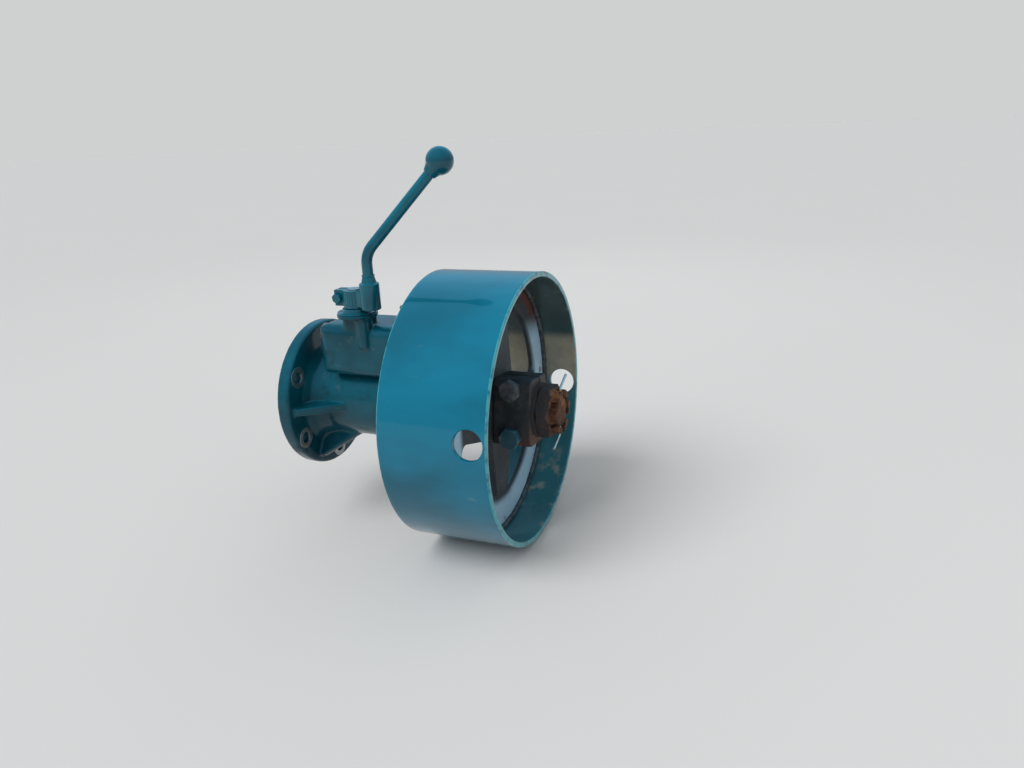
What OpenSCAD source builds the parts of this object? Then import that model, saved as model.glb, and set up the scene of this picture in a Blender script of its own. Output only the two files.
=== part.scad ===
// Belt pulley drive unit for the side of a farm tractor's gearbox.
// +X points outboard along the pulley's shaft, +Y to the rear and +Z up.
// The origin is the centre of the mounting flange's face.

/* [Belt pulley] */
// Outer diameter of the rim
pulley_d = 310; // [290:2:340]
// Width of the rim
pulley_w = 120; // [112:1:140]
// Thickness of the rim
rim_wall = 6; // [4:0.5:9]
// Bevel on the rim's edges
rim_bevel = 1; // [0.5:0.25:1.5]
// Length of the housing's nose that stands inside the rim
nose_in = 12; // [0:1:16]
// Angle at which the pulley rests, about its shaft
pulley_turn = -6.2; // [-45:0.1:45]
// Diameter of the two access holes in the rim
access_d = 32; // [20:1:36]
// Distance from the rim's outer edge to the centres of the access holes
access_in = 20; // [18:1:22]

/* [Spider] */
// Thickness of the web that the arms and the ring are made of
web_t = 9; // [6:0.5:12]
// Distance from the rim's outer edge back to the web
web_in = 45; // [42:1:50]
// Width of the web's outer ring
ring_w = 33; // [26:1:40]
// Number of arms
arm_n = 4; // [3:1:5]
// Width that the arms' sides would reach at the shaft's axis
arm_root_w = 78; // [66:1:84]
// Taper of each side of an arm, in degrees
arm_taper = 12.1; // [8:0.1:14]
// Corner radius of the windows between the arms
window_r = 10; // [6:0.5:14]
// Size of the welds that join the web to the rim and to the hub
weld = 5; // [3:0.5:7]

/* [Clamp hub] */
// Height of the hub across its two bolts
hub_h = 76; // [74:1:84]
// Radius of the hub's round part
hub_r = 35; // [32:0.5:36]
// Depth of the hub's front cap, from the shaft's axis
cap_depth = 30; // [27:0.5:34]
// Gap between the cap and the rear half of the hub
split_gap = 2; // [1:0.5:4]
// Length of the hub on the gearbox side of the web
hub_in = 31; // [26:1:31]
// Distance of each clamp bolt from the shaft's axis
clamp_bolt_off = 27; // [26.5:0.25:29]
// Thread diameter of the clamp bolts
clamp_bolt_d = 14; // [12:1:14]
// Width across the flats of the clamp bolts' heads
clamp_bolt_af = 22; // [19:1:23]
// Length of the clamp bolts' shanks
clamp_bolt_l = 46; // [40:1:52]

/* [Shaft and nut] */
// Diameter of the shaft in the hub
shaft_d = 38; // [34:1:38]
// Diameter of the shaft in its bearings
bearing_d = 45; // [42:1:50]
// Thread diameter at the shaft's end
thread_d = 36; // [30:1:36]
// Width across the flats of the castle nut
nut_af = 55; // [50:1:60]
// Height of the castle nut's hexagon
nut_hex_h = 16; // [14:1:20]
// Height of the castle nut's crown
crown_h = 9; // [7:1:11]
// Diameter of the castle nut's crown
crown_d = 50; // [46:1:50]
// Width of the slots in the crown
crown_slot = 7; // [6:0.5:8]
// Thickness of the washer under the castle nut
washer_t = 4; // [3:0.5:5]
// Diameter of the split pin's wire
pin_d = 4; // [3:0.5:5]
// Length of the split pin's bent legs
pin_leg = 24; // [14:1:30]
// Angle through which the split pin's legs are bent
pin_bend = 62; // [40:1:80]

/* [Drive housing] */
// Diameter of the mounting flange
flange_d = 180; // [174:1:190]
// Thickness of the mounting flange
flange_t = 16; // [12:1:20]
// Distance from the flange's edge to the centres of the mounting holes
mount_in = 15; // [13:0.5:17]
// Number of mounting holes
mount_n = 6; // [4:1:6]
// Diameter of the mounting holes
mount_hole_d = 13.5; // [11:0.5:14]
// Diameter of the register that enters the gearbox
register_d = 110; // [106:1:114]
// Length of the register
register_l = 10; // [6:1:12]
// Diameter of the barrel round the shaft
barrel_d = 98; // [96:1:104]
// Diameter of the nose that carries the outer bearing
nose_d = 112; // [110:1:120]
// Length of the housing, from the mounting face to the end of the nose
housing_l = 182; // [178:1:184]
// Thickness of the stiffening ribs
rib_t = 9; // [6:1:12]
// Thickness of the bearing cover
cover_t = 8; // [6:0.5:10]
// Diameter of the circle of the cover's bolts
cover_pcd = 88; // [86:1:92]

/* [Selector chest and lever] */
// Height of the selector chest's top above the shaft's axis
chest_top = 100; // [96:1:104]
// Distance from the mounting face to the selector chest
chest_x0 = 41; // [36:1:44]
// Length of the selector chest along the shaft
chest_l = 112; // [106:1:114]
// Height of the ledge at the foot of the selector chest's front
chest_ledge = 40; // [36:1:44]
// Distance from the mounting face to the selector spindle
spindle_x = 93; // [90:1:98]
// Distance of the selector spindle in front of the shaft's axis
spindle_y = 44; // [42:0.5:46]
// Diameter of the selector spindle
spindle_d = 16; // [14:1:18]
// Diameter of the turret's round pad
pad_d = 46; // [44:1:50]
// Thickness of the turret's pad
pad_t = 5; // [4:0.5:7]
// Thickness of the plate on the pad
plate_t = 1.5; // [1:0.25:2.5]
// Diameter of the collar between the plate and the lever
collar_d = 32; // [30:1:36]
// Thickness of the collar
collar_t = 4; // [3:0.5:6]
// Diameter of the boss on the chest's front, below the pad
front_boss_d = 18; // [16:1:20]
// Length of the boss on the chest's front
front_boss_l = 35; // [30:1:40]
// Diameter of the clamp eye on the spindle
eye_d = 28; // [26:1:30]
// Height of the clamp eye
eye_h = 20; // [18:1:22]
// Number of flutes round the clamp eye
flute_n = 30; // [24:1:36]
// Distance from the spindle to the foot of the lever's rod
rod_off = 26; // [25:0.5:28]
// Direction of the rod's foot from the spindle, in degrees rearward of the shaft's axis
rod_turn = -20; // [-35:1:0]
// Diameter of the boss round the rod's foot
boss_d = 22; // [20:1:23]
// Diameter of the lever's rod
rod_d = 12; // [10:0.5:13]
// Height of the rod's bend above the collar
bend_up = 61.5; // [56:0.5:68]
// Radius of the rod's bend
bend_r = 28; // [22:1:40]
// Angle between the rod's upper part and the vertical
bend_angle = 43; // [35:0.5:50]
// Direction in which the rod leans, in degrees rearward of the shaft's axis
lean_turn = 27; // [0:1:60]
// Distance from the bend to the centre of the ball
upper_l = 126; // [110:1:140]
// Diameter of the ball
ball_d = 30; // [28:1:34]

/* [Input gear] */
// Number of teeth on the bevel gear
gear_teeth = 17; // [15:1:20]
// Pitch diameter of the bevel gear at its large end
gear_d = 92; // [88:1:92]
// Face width of the bevel gear's teeth
gear_face = 24; // [20:1:28]
// Half angle of the bevel gear's pitch cone
gear_cone = 45; // [40:1:48]
// Diameter of the input shaft
input_d = 40; // [36:1:44]

/* [Clearances] */
// Radial running clearance of a shaft in its bearing
fit = 0.05; // [0.03:0.01:0.08]
// Clearance of a bolt in its hole, on the diameter
bolt_play = 1; // [0.5:0.25:1.5]
// Gap between a turning face and a fixed one
run_gap = 0.5; // [0.3:0.1:1]

/* [Hidden] */
$fn = 96;
eps = 0.01;

paint = [0.03, 0.47, 0.50];
dark_cast = [0.27, 0.27, 0.28];
rusty = [0.42, 0.27, 0.21];
steel = [0.62, 0.63, 0.64];
seal_black = [0.08, 0.08, 0.08];

// Places along the shaft
pulley_off = housing_l - nose_in;
rim_x1 = pulley_off + pulley_w;
web_x1 = rim_x1 - web_in;
web_x0 = web_x1 - web_t;
hub_x0 = web_x0 - hub_in;
hub_x1 = rim_x1;
nut_x0 = hub_x1 + washer_t;
crown_x0 = nut_x0 + nut_hex_h;
shaft_x1 = crown_x0 + crown_h;
pin_x = crown_x0 + crown_h / 2;
cover_x1 = housing_l + cover_t;
shaft_gap = 6;
shaft_x0 = 62;
input_x1 = shaft_x0 - shaft_gap;

// Radii of the pulley
rim_r = pulley_d / 2;
rim_in_r = rim_r - rim_wall;
ring_r = rim_in_r - ring_w;

// Heights of the turret and the lever
pad_up = 10;
pad_z0 = chest_top + pad_up;
pad_z1 = pad_z0 + pad_t;
collar_z1 = pad_z1 + plate_t + collar_t;
eye_z0 = collar_z1 + run_gap;
eye_z1 = eye_z0 + eye_h;
ear_z0 = eye_z0 + 2;
ear_l = 8.5;
ear_w = 16;
eye_bolt_d = 6;
eye_bolt_af = 10;
eye_bolt_z = (ear_z0 + eye_z1) / 2;
spindle_in = 20;
spindle_z0 = chest_top - spindle_in;
boss_up = 9.5;
boss_h = eye_h + boss_up;
boss_flare = 8;

// Small fasteners
mount_pcd = flange_d - 2 * mount_in;
cover_bolt_d = 8;
cover_bolt_af = 13;
cover_bolt_l = 12;
cover_bolt_n = 4;
gear_nut_af = 46;
gear_nut_h = 12;
gear_back = 5;
shaft_over = 4;
plug_d = 18;
plug_af = 19;
plug_l = 8;
plug_boss_d = 30;

// Turns a shape that stands on its base so that it points outboard
module outboard(x = 0) translate([x, 0, 0]) rotate([0, 90, 0]) children();

// Extrudes an outline drawn as rear by up along the shaft
module along_shaft(x, length) translate([x, 0, 0]) rotate([90, 0, 90]) linear_extrude(length) children();

// Places the pulley's pieces, with their own z outboard and their own y to the rear
module on_pulley(x = 0) translate([x, 0, 0]) rotate([pulley_turn, 0, 0]) rotate([0, 90, 0]) children();

// Places a piece on the selector spindle's axis
module on_spindle(z = 0) translate([spindle_x, -spindle_y, z]) children();

module hexagon(af, height) cylinder(d = af / cos(30), h = height, $fn = 6);

// Rectangle with round corners, about its centre
module round_rect(length, width, r) {
    square([length - 2 * r, width], center = true);
    square([length, width - 2 * r], center = true);
    for (sx = [-1, 1], sy = [-1, 1])
        translate([sx * (length / 2 - r), sy * (width / 2 - r)]) circle(r = r, $fn = 48);
}

// Hexagon bolt that stands on the face at z = 0, with its shank below
module hex_bolt(d, af, shank, head) {
    intersection() {
        hexagon(af, head);
        cylinder(r1 = af / 2 + head, r2 = af / 2 - 0.3, h = head + 0.3);
    }
    translate([0, 0, -shank]) cylinder(d = d, h = shank + eps);
}

/* Drive housing */

rib_l = 52;
rib_in = 8;

module rib(turn) rotate([turn, 0, 0]) translate([0, rib_t / 2, 0]) rotate([90, 0, 0])
    linear_extrude(rib_t)
        polygon([[flange_t - 1, barrel_d / 2 - 4], [flange_t - 1, flange_d / 2 - rib_in],
                 [flange_t + 6, flange_d / 2 - rib_in], [flange_t + rib_l, barrel_d / 2 - 1],
                 [flange_t + rib_l, barrel_d / 2 - 4]]);

module barrel() outboard() rotate_extrude() polygon([
    [0, -register_l], [register_d / 2 - 1.5, -register_l], [register_d / 2, 1.5 - register_l],
    [register_d / 2, 0], [flange_d / 2 - 1, 0], [flange_d / 2, 1],
    [flange_d / 2, flange_t - 2], [flange_d / 2 - 2, flange_t],
    [barrel_d / 2 + 14, flange_t], [barrel_d / 2 + 5, flange_t + 7], [barrel_d / 2, flange_t + 22],
    [barrel_d / 2, housing_l - 44], [nose_d / 2, housing_l - 32],
    [nose_d / 2, housing_l - 2], [nose_d / 2 - 2, housing_l], [0, housing_l]]);

chest_front = spindle_y + spindle_d / 2 + 3;
chest_rear = 16;
chest_h = chest_top - chest_ledge;
chest_edge = 12;
chest_corner = 14;
filler_off = 42;
filler_x = spindle_x + filler_off;

// Box with all its edges rounded, which stands ahead of the barrel's side
module chest() intersection() {
    depth = chest_rear + chest_front;
    y_mid = (chest_rear - chest_front) / 2;
    z_mid = chest_top - chest_h / 2;
    along_shaft(chest_x0, chest_l) translate([y_mid, z_mid]) round_rect(depth, chest_h, chest_edge);
    translate([chest_x0 + chest_l / 2, y_mid, 0]) linear_extrude(chest_top + 1)
        round_rect(chest_l, depth, chest_corner);
    translate([chest_x0 + chest_l / 2, chest_rear + 1, z_mid]) rotate([90, 0, 0])
        linear_extrude(depth + 2) round_rect(chest_l, chest_h, chest_corner);
}

neck_l = pad_d - 10;
neck_w = 26;
neck_r = 8;
neck_in = 14;
front_boss_off = 13;
front_boss_turn = -31;

module turret_pad() {
    on_spindle(pad_z0) cylinder(d = pad_d, h = pad_t);
    translate([spindle_x, neck_w / 2 + 1 - chest_front, chest_top - neck_in])
        linear_extrude(neck_in + pad_up + eps) round_rect(neck_l, neck_w, neck_r);
    on_spindle(pad_z0 - front_boss_l) rotate(front_boss_turn) translate([front_boss_off, 0, 0])
        rotate_extrude() polygon([
            [0, 0], [front_boss_d / 2 - 3, 0], [front_boss_d / 2 - 1, 1], [front_boss_d / 2, 3],
            [front_boss_d / 2, front_boss_l + eps], [0, front_boss_l + eps]]);
}

module drive_housing() color(paint) difference() {
    union() {
        barrel();
        chest();
        turret_pad();
        for (turn = [0, 180, 240, 300]) rib(turn - 90);
        translate([spindle_x, 0, -barrel_d / 2 - 4]) cylinder(d = plug_boss_d, h = 12);
        translate([filler_x, 0, chest_top - 4]) cylinder(d = plug_boss_d, h = 8);
    }
    outboard(-register_l - 1) cylinder(d = input_d + 2 * fit, h = register_l + input_x1 + shaft_gap / 2 + 1);
    outboard(input_x1 + shaft_gap / 2 - eps)
        cylinder(d = bearing_d + 2 * fit, h = housing_l - input_x1);
    on_spindle(spindle_z0 - 2) cylinder(d = spindle_d + 2 * fit, h = pad_z1);
    for (i = [0 : mount_n - 1]) outboard(-1) rotate([0, 0, i * 360 / mount_n])
        translate([mount_pcd / 2, 0, 0]) cylinder(d = mount_hole_d, h = flange_t + 2);
    at_cover_bolts(housing_l - cover_bolt_l - 1) cylinder(d = cover_bolt_d, h = cover_bolt_l + 2);
    translate([spindle_x, 0, -barrel_d / 2 - 5]) cylinder(d = plug_d, h = plug_l + 5);
    translate([filler_x, 0, chest_top - plug_l]) cylinder(d = plug_d, h = plug_l + 5);
}

module at_cover_bolts(x) for (i = [0 : cover_bolt_n - 1])
    outboard(x) rotate([0, 0, 45 + i * 360 / cover_bolt_n]) translate([cover_pcd / 2, 0, 0]) children();

module bearing_cover() color(paint) difference() {
    outboard(housing_l) rotate_extrude() polygon([
        [bearing_d / 2 + 6, 0], [nose_d / 2 - 2, 0], [nose_d / 2 - 2, cover_t - 3],
        [nose_d / 2 - 4, cover_t - 1], [bearing_d / 2 + 12, cover_t - 1],
        [bearing_d / 2 + 10, cover_t], [bearing_d / 2 + 6, cover_t]]);
    at_cover_bolts(housing_l - 1) cylinder(d = cover_bolt_d + bolt_play, h = cover_t + 2);
}

module cover_bolts() color(steel)
    at_cover_bolts(housing_l + cover_t - 1) hex_bolt(cover_bolt_d, cover_bolt_af, cover_t + cover_bolt_l, 5.5);

module shaft_seal() color(seal_black) outboard(housing_l) difference() {
    cylinder(d = bearing_d + 12, h = cover_t - 1.5);
    translate([0, 0, -1]) cylinder(d = bearing_d + 2 * fit, h = cover_t + 2);
}

module plug() {
    translate([0, 0, -plug_l]) cylinder(d = plug_d, h = plug_l + eps);
    cylinder(d = plug_d + 8, h = 2.5);
    translate([0, 0, 2.5 - eps]) hexagon(plug_af, 8);
}

module filler_plug() color(steel) translate([filler_x, 0, chest_top + 4]) plug();

module drain_plug() color(steel) translate([spindle_x, 0, -barrel_d / 2 - 4]) rotate([180, 0, 0]) plug();

// Thin plate on the pad, with the collar that the lever turns on
module turret_plate() color(paint) on_spindle(pad_z1) difference() {
    rotate_extrude() polygon([
        [0, 0], [pad_d / 2 - 1, 0], [pad_d / 2 - 1, plate_t - 0.5], [pad_d / 2 - 1.5, plate_t],
        [collar_d / 2, plate_t], [collar_d / 2, plate_t + collar_t - 0.5],
        [collar_d / 2 - 0.5, plate_t + collar_t], [0, plate_t + collar_t]]);
    translate([0, 0, -1]) cylinder(d = spindle_d + 2 * fit, h = plate_t + collar_t + 2);
}

/* Pulley body */

module output_shaft() color(rusty) difference() {
    union() {
        outboard(shaft_x0) cylinder(d = bearing_d, h = hub_x0 - shaft_x0);
        outboard(hub_x0 - eps) cylinder(d = shaft_d, h = hub_x1 - hub_x0 + eps);
        outboard(hub_x1 - eps) rotate_extrude() polygon([
            [0, 0], [thread_d / 2, 0], [thread_d / 2, shaft_x1 - hub_x1 - 4],
            [thread_d / 2 - 2, shaft_x1 - hub_x1 - 2], [0, shaft_x1 - hub_x1 - 2]]);
    }
    on_pulley(pin_x) rotate([0, 90, 0]) cylinder(d = pin_d + 1, h = thread_d + 2, center = true);
}

module spacer_ring() color(steel) outboard(cover_x1 + run_gap) difference() {
    cylinder(d = bearing_d + 12, h = hub_x0 - cover_x1 - run_gap);
    translate([0, 0, -1]) cylinder(d = bearing_d, h = hub_x0);
}

module pulley_rim() color(paint) on_pulley(pulley_off) difference() {
    rotate_extrude($fn = 180) polygon([
        [rim_in_r, rim_bevel], [rim_in_r + rim_bevel, 0],
        [rim_r - rim_bevel, 0], [rim_r, rim_bevel],
        [rim_r, pulley_w - rim_bevel], [rim_r - rim_bevel, pulley_w],
        [rim_in_r + rim_bevel, pulley_w], [rim_in_r, pulley_w - rim_bevel]]);
    translate([0, 0, pulley_w - access_in]) rotate([90, 0, 0])
        cylinder(d = access_d, h = pulley_d + 2, center = true);
}

// Half outline of an arm that points along +y: its side starts at arm_root_w / 2 and leans inward
arm_side = [arm_root_w / 2, 0];
side_dir = [-sin(arm_taper), cos(arm_taper)];
side_out = [cos(arm_taper), sin(arm_taper)];
function on_side(s) = arm_side + s * side_dir;
// Distance along the side at which a line that lies off by d meets a circle of radius r
function side_at(d, r) = let(q = arm_side + d * side_out)
    -(q * side_dir) + sqrt(pow(q * side_dir, 2) - q * q + r * r);

// The arms start inside the hub's hole, each at its own place, so that they overlap round the hub
module arm() {
    root = on_side(hub_r / 2);
    tip = on_side(side_at(0, ring_r + 2));
    polygon([root, tip, [-tip[0], tip[1]], [-root[0], root[1]]]);
}

// Fills the corner between an arm's side and the ring
module ring_corner() {
    s = side_at(window_r, ring_r - window_r);
    centre = arm_side + window_r * side_out + s * side_dir;
    difference() {
        polygon([on_side(s), centre, centre * (ring_r + 1) / (ring_r - window_r),
                 on_side(side_at(0, ring_r + 1.5)) - side_out]);
        translate(centre) circle(r = window_r, $fn = 48);
    }
}

// Fills the corner where the sides of two neighbouring arms meet
module hub_corner() {
    bisector = 180 / arm_n;
    half = bisector - arm_taper;
    apex = arm_root_w / 2 * cos(arm_taper) / sin(bisector + arm_taper);
    dir = [sin(bisector), cos(bisector)];
    reach = window_r / tan(half);
    centre = (apex + window_r / sin(half)) * dir;
    side = apex * dir + reach * side_dir;
    other = 2 * (side * dir) * dir - side;
    difference() {
        polygon([(apex - 2) * dir, side, centre, other]);
        translate(centre) circle(r = window_r, $fn = 48);
    }
}

// Plate that the ring and the arms are cut from, with a hole for the hub
module pulley_spider() color(dark_cast) on_pulley(web_x0) difference() {
    union() {
        linear_extrude(web_t) difference() {
            circle(r = rim_in_r, $fn = 180);
            circle(r = ring_r, $fn = 180);
        }
        for (i = [0 : arm_n - 1]) rotate(i * 360 / arm_n) {
            linear_extrude(web_t) arm();
            linear_extrude(web_t) hub_corner();
            for (side = [0, 1]) linear_extrude(web_t) mirror([side, 0]) ring_corner();
        }
    }
    translate([0, 0, -1]) cylinder(r = hub_r, h = web_t + 2);
}

// Hub that is welded into the web; outboard of the web it is the rear half of the clamp
module pulley_hub() color(dark_cast) on_pulley() difference() {
    union() {
        translate([0, 0, hub_x0]) cylinder(r = hub_r, h = web_x1 - hub_x0);
        intersection() {
            translate([0, 0, web_x0]) cylinder(r = hub_r, h = hub_x1 - web_x0);
            translate([-hub_h, split_gap / 2, web_x0]) cube([2 * hub_h, hub_h, hub_x1 - web_x0]);
        }
        translate([0, 0, web_x1]) linear_extrude(hub_x1 - web_x1)
            translate([-hub_h / 2, split_gap / 2]) square([hub_h, 20]);
    }
    translate([0, 0, hub_x0 - 1]) cylinder(d = shaft_d, h = hub_x1 - hub_x0 + 2);
    at_hub_bolts() cylinder(d = clamp_bolt_d, h = 2 * hub_h, center = true);
}

// Fillet welds on both sides of the web at the rim, and round the hub on the gearbox side
module web_welds() color(dark_cast) on_pulley() {
    for (side = [0, 1]) translate([0, 0, side == 0 ? web_x0 : web_x1]) mirror([0, 0, side])
        rotate_extrude($fn = 180) polygon([[rim_in_r - weld, 0], [rim_in_r, -weld], [rim_in_r, 0]]);
    translate([0, 0, web_x0]) rotate_extrude() polygon([[hub_r, 0], [hub_r, -weld], [hub_r + weld, 0]]);
}

// Places a piece at each clamp bolt, on the cap's front face and pointing out of it
module at_hub_bolts() for (side = [-1, 1])
    translate([side * clamp_bolt_off, -cap_depth, (web_x1 + hub_x1) / 2]) rotate([90, 0, 0]) children();

module hub_cap() color(dark_cast) on_pulley() difference() {
    translate([0, 0, web_x1 + 0.5]) linear_extrude(hub_x1 - web_x1 - 0.5) difference() {
        union() {
            translate([-hub_h / 2, -cap_depth + 8]) square([hub_h, cap_depth - 8 - split_gap / 2]);
            translate([-hub_h / 2 + 8, -cap_depth]) square([hub_h - 16, cap_depth - split_gap / 2]);
            for (side = [-1, 1]) translate([side * (hub_h / 2 - 8), -cap_depth + 8])
                circle(r = 8, $fn = 48);
        }
        circle(d = shaft_d);
    }
    at_hub_bolts() cylinder(d = clamp_bolt_d + bolt_play, h = 3 * cap_depth, center = true);
}

module hub_bolts() color(paint) on_pulley()
    at_hub_bolts() hex_bolt(clamp_bolt_d, clamp_bolt_af, clamp_bolt_l, 9);

module nut_washer() color(rusty) outboard(hub_x1) difference() {
    cylinder(d = nut_af + 7, h = washer_t);
    translate([0, 0, -1]) cylinder(d = thread_d, h = washer_t + 2);
}

module castle_nut() color(rusty) on_pulley(nut_x0) difference() {
    union() {
        intersection() {
            hexagon(nut_af, nut_hex_h);
            cylinder(r1 = nut_af / 2 + nut_hex_h, r2 = nut_af / 2 - 0.5, h = nut_hex_h + 0.5);
        }
        cylinder(d = crown_d, h = nut_hex_h + crown_h);
    }
    translate([0, 0, -1]) cylinder(d = thread_d, h = nut_hex_h + crown_h + 2);
    for (i = [0 : 5]) rotate(i * 60) translate([thread_d / 2 - 3, -crown_slot / 2, nut_hex_h + 0.5])
        cube([crown_d, crown_slot, crown_h + 1]);
}

// One leg of the split pin, from the shaft's axis out through the crown and over its edge
module pin_half() {
    bend_at = crown_d / 2 + 1;
    rotate([0, 90, 0]) cylinder(d = pin_d, h = bend_at);
    translate([bend_at, 0, 0]) {
        sphere(d = pin_d + 0.4);
        rotate([0, 90, -pin_bend]) cylinder(d = pin_d - 1, h = pin_leg);
    }
}

module split_pin() color(steel) on_pulley(pin_x) for (end = [0, 1]) rotate(end * 180) pin_half();

/* Input gear */

// Large end of the gear, which faces the housing
gear_x = -register_l - gear_back;
apex_h = gear_d / 2 / tan(gear_cone);
module_size = gear_d / gear_teeth;
addendum = module_size;
dedendum = 1.2 * module_size;
tip_cone = gear_cone + atan(addendum / (gear_d / 2 / sin(gear_cone)));
root_cone = gear_cone - atan(dedendum / (gear_d / 2 / sin(gear_cone)));
pressure = 20;

// Solid cone about the gear's axis whose tip is the pitch cone's tip, cut to the face width
module gear_blank(half_angle) {
    back = gear_d / 2;
    slant = gear_face * cos(gear_cone);
    rotate_extrude() polygon([
        [0, 0], [apex_h * tan(half_angle), 0],
        [(apex_h - slant) * tan(half_angle), slant], [0, slant]]);
}

// Half space on one side of a tooth's flank, which leans by the pressure angle
module flank(side) translate([0, 0, apex_h]) rotate(side * 90 / gear_teeth) rotate([0, -gear_cone, 0])
    rotate(-side * pressure) translate([-gear_d, side > 0 ? -2 * gear_d : 0, -2 * gear_d])
        cube([2 * gear_d, 2 * gear_d, 2 * gear_d]);

module bevel_gear() color(steel) translate([gear_x, 0, 0]) rotate([0, -90, 0]) difference() {
    union() {
        gear_blank(root_cone);
        difference() {
            gear_blank(tip_cone);
            for (i = [0 : gear_teeth - 1]) rotate(i * 360 / gear_teeth) intersection() {
                flank(1);
                flank(-1);
                translate([0, -gear_d / 4, -1]) cube([gear_d, gear_d / 2, gear_face]);
            }
        }
        translate([0, 0, run_gap - gear_back]) cylinder(d = input_d + 22, h = gear_back - run_gap + eps);
    }
    translate([0, 0, -10]) cylinder(d = input_d - 6, h = gear_d);
}

gear_end = gear_face * cos(gear_cone);

module input_shaft() color(steel) {
    outboard(gear_x + gear_back - run_gap)
        cylinder(d = input_d, h = input_x1 - gear_x - gear_back + run_gap);
    outboard(gear_x - gear_end - gear_nut_h - shaft_over)
        cylinder(d = input_d - 6, h = gear_end + gear_nut_h + shaft_over + gear_back);
}

module gear_nut() color(steel) translate([gear_x - gear_end, 0, 0]) rotate([0, -90, 0]) difference() {
    hexagon(gear_nut_af, gear_nut_h);
    translate([0, 0, -1]) cylinder(d = input_d - 6, h = gear_nut_h + 2);
}

/* Lever */

module selector_spindle() color(steel) on_spindle(spindle_z0)
    cylinder(d = spindle_d, h = eye_z1 + 1 - spindle_z0);

// Places the rod's foot, with x along the line from the spindle
module on_foot(z) on_spindle(z) rotate(rod_turn) translate([rod_off, 0, 0]) children();

// Angle between two directions
function apart(a, b) = abs((a - b + 540) % 360 - 180);

module lever_eye() color(paint) difference() {
    union() {
        on_spindle(eye_z0) cylinder(d = eye_d, h = eye_h);
        on_spindle(ear_z0) translate([-eye_d / 2 - ear_l, -ear_w / 2, 0])
            cube([eye_d / 2 + 4, ear_w, eye_z1 - ear_z0]);
        on_foot(ear_z0) translate([4 - rod_off, -ear_w / 2, 0])
            cube([rod_off - 4, ear_w, eye_z1 - ear_z0 - 1]);
        on_foot(eye_z0) rotate_extrude() polygon([
            [0, 0], [boss_d / 2 - 1, 0], [boss_d / 2, 1], [boss_d / 2, boss_h - 1], [boss_d / 2 - 1, boss_h],
            [boss_d / 2 - 2.5, boss_h], [rod_d / 2 + 0.5, boss_h + boss_flare], [0, boss_h + boss_flare]]);
    }
    for (i = [0 : flute_n - 1]) let(turn = i * 360 / flute_n)
        if (apart(turn, 180) > 40 && apart(turn, rod_turn) > 42)
            on_spindle(eye_z0 - 1) rotate(turn) translate([eye_d / 2 + 0.4, 0, 0])
                cylinder(r = 1, h = eye_h - 1.5, $fn = 16);
    on_spindle(eye_z0 - 1) cylinder(d = spindle_d, h = boss_h);
    on_foot(ear_z0 + 4) cylinder(d = rod_d, h = boss_h + boss_flare);
    on_spindle(eye_z0 - 1) translate([-eye_d, -1, 0]) cube([eye_d, 2, eye_h + 2]);
    on_spindle(eye_bolt_z) translate([-(eye_d + ear_l) / 2, 0, 0]) rotate([90, 0, 0])
        cylinder(d = eye_bolt_d, h = 40, center = true);
}

module eye_bolt() color(steel) on_spindle(eye_bolt_z) translate([-(eye_d + ear_l) / 2, -ear_w / 2, 0])
    rotate([90, 0, 0]) hex_bolt(eye_bolt_d, eye_bolt_af, ear_w, 4);

// Places the rod's upper part, which leans from the bend
module on_rod() on_foot(0) rotate(lean_turn - rod_turn) children();

bend_z = collar_z1 + bend_up;
bend_run = bend_r * tan(bend_angle / 2);

// The bend is a hair thicker than the straight lengths that run into it
module lever_rod() color(paint) on_rod() {
    translate([0, 0, ear_z0 + 4]) cylinder(d = rod_d, h = bend_z - bend_run - ear_z0 - 3);
    translate([bend_r, 0, bend_z - bend_run]) rotate([90, 0, 180]) rotate_extrude(angle = bend_angle)
        translate([bend_r, 0]) circle(d = rod_d + 0.1);
    translate([0, 0, bend_z]) rotate([0, bend_angle, 0]) translate([0, 0, bend_run - 1])
        cylinder(d = rod_d, h = upper_l - bend_run + 1 - ball_d / 4);
}

module ball_knob() color(paint) on_rod()
    translate([0, 0, bend_z]) rotate([0, bend_angle, 0]) translate([0, 0, upper_l]) difference() {
        union() {
            sphere(d = ball_d);
            translate([0, 0, -ball_d / 2 - 2]) cylinder(d1 = rod_d + 3, d2 = rod_d + 8, h = 5);
        }
        translate([0, 0, -ball_d]) cylinder(d = rod_d, h = ball_d * 3 / 4);
    }

drive_housing();
bearing_cover();
cover_bolts();
shaft_seal();
filler_plug();
drain_plug();
turret_plate();
output_shaft();
spacer_ring();
pulley_rim();
pulley_spider();
pulley_hub();
web_welds();
hub_cap();
hub_bolts();
nut_washer();
castle_nut();
split_pin();
input_shaft();
bevel_gear();
gear_nut();
selector_spindle();
lever_eye();
eye_bolt();
lever_rod();
ball_knob();
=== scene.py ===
import math

import bmesh
import bpy
from mathutils import Matrix, Vector


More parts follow.
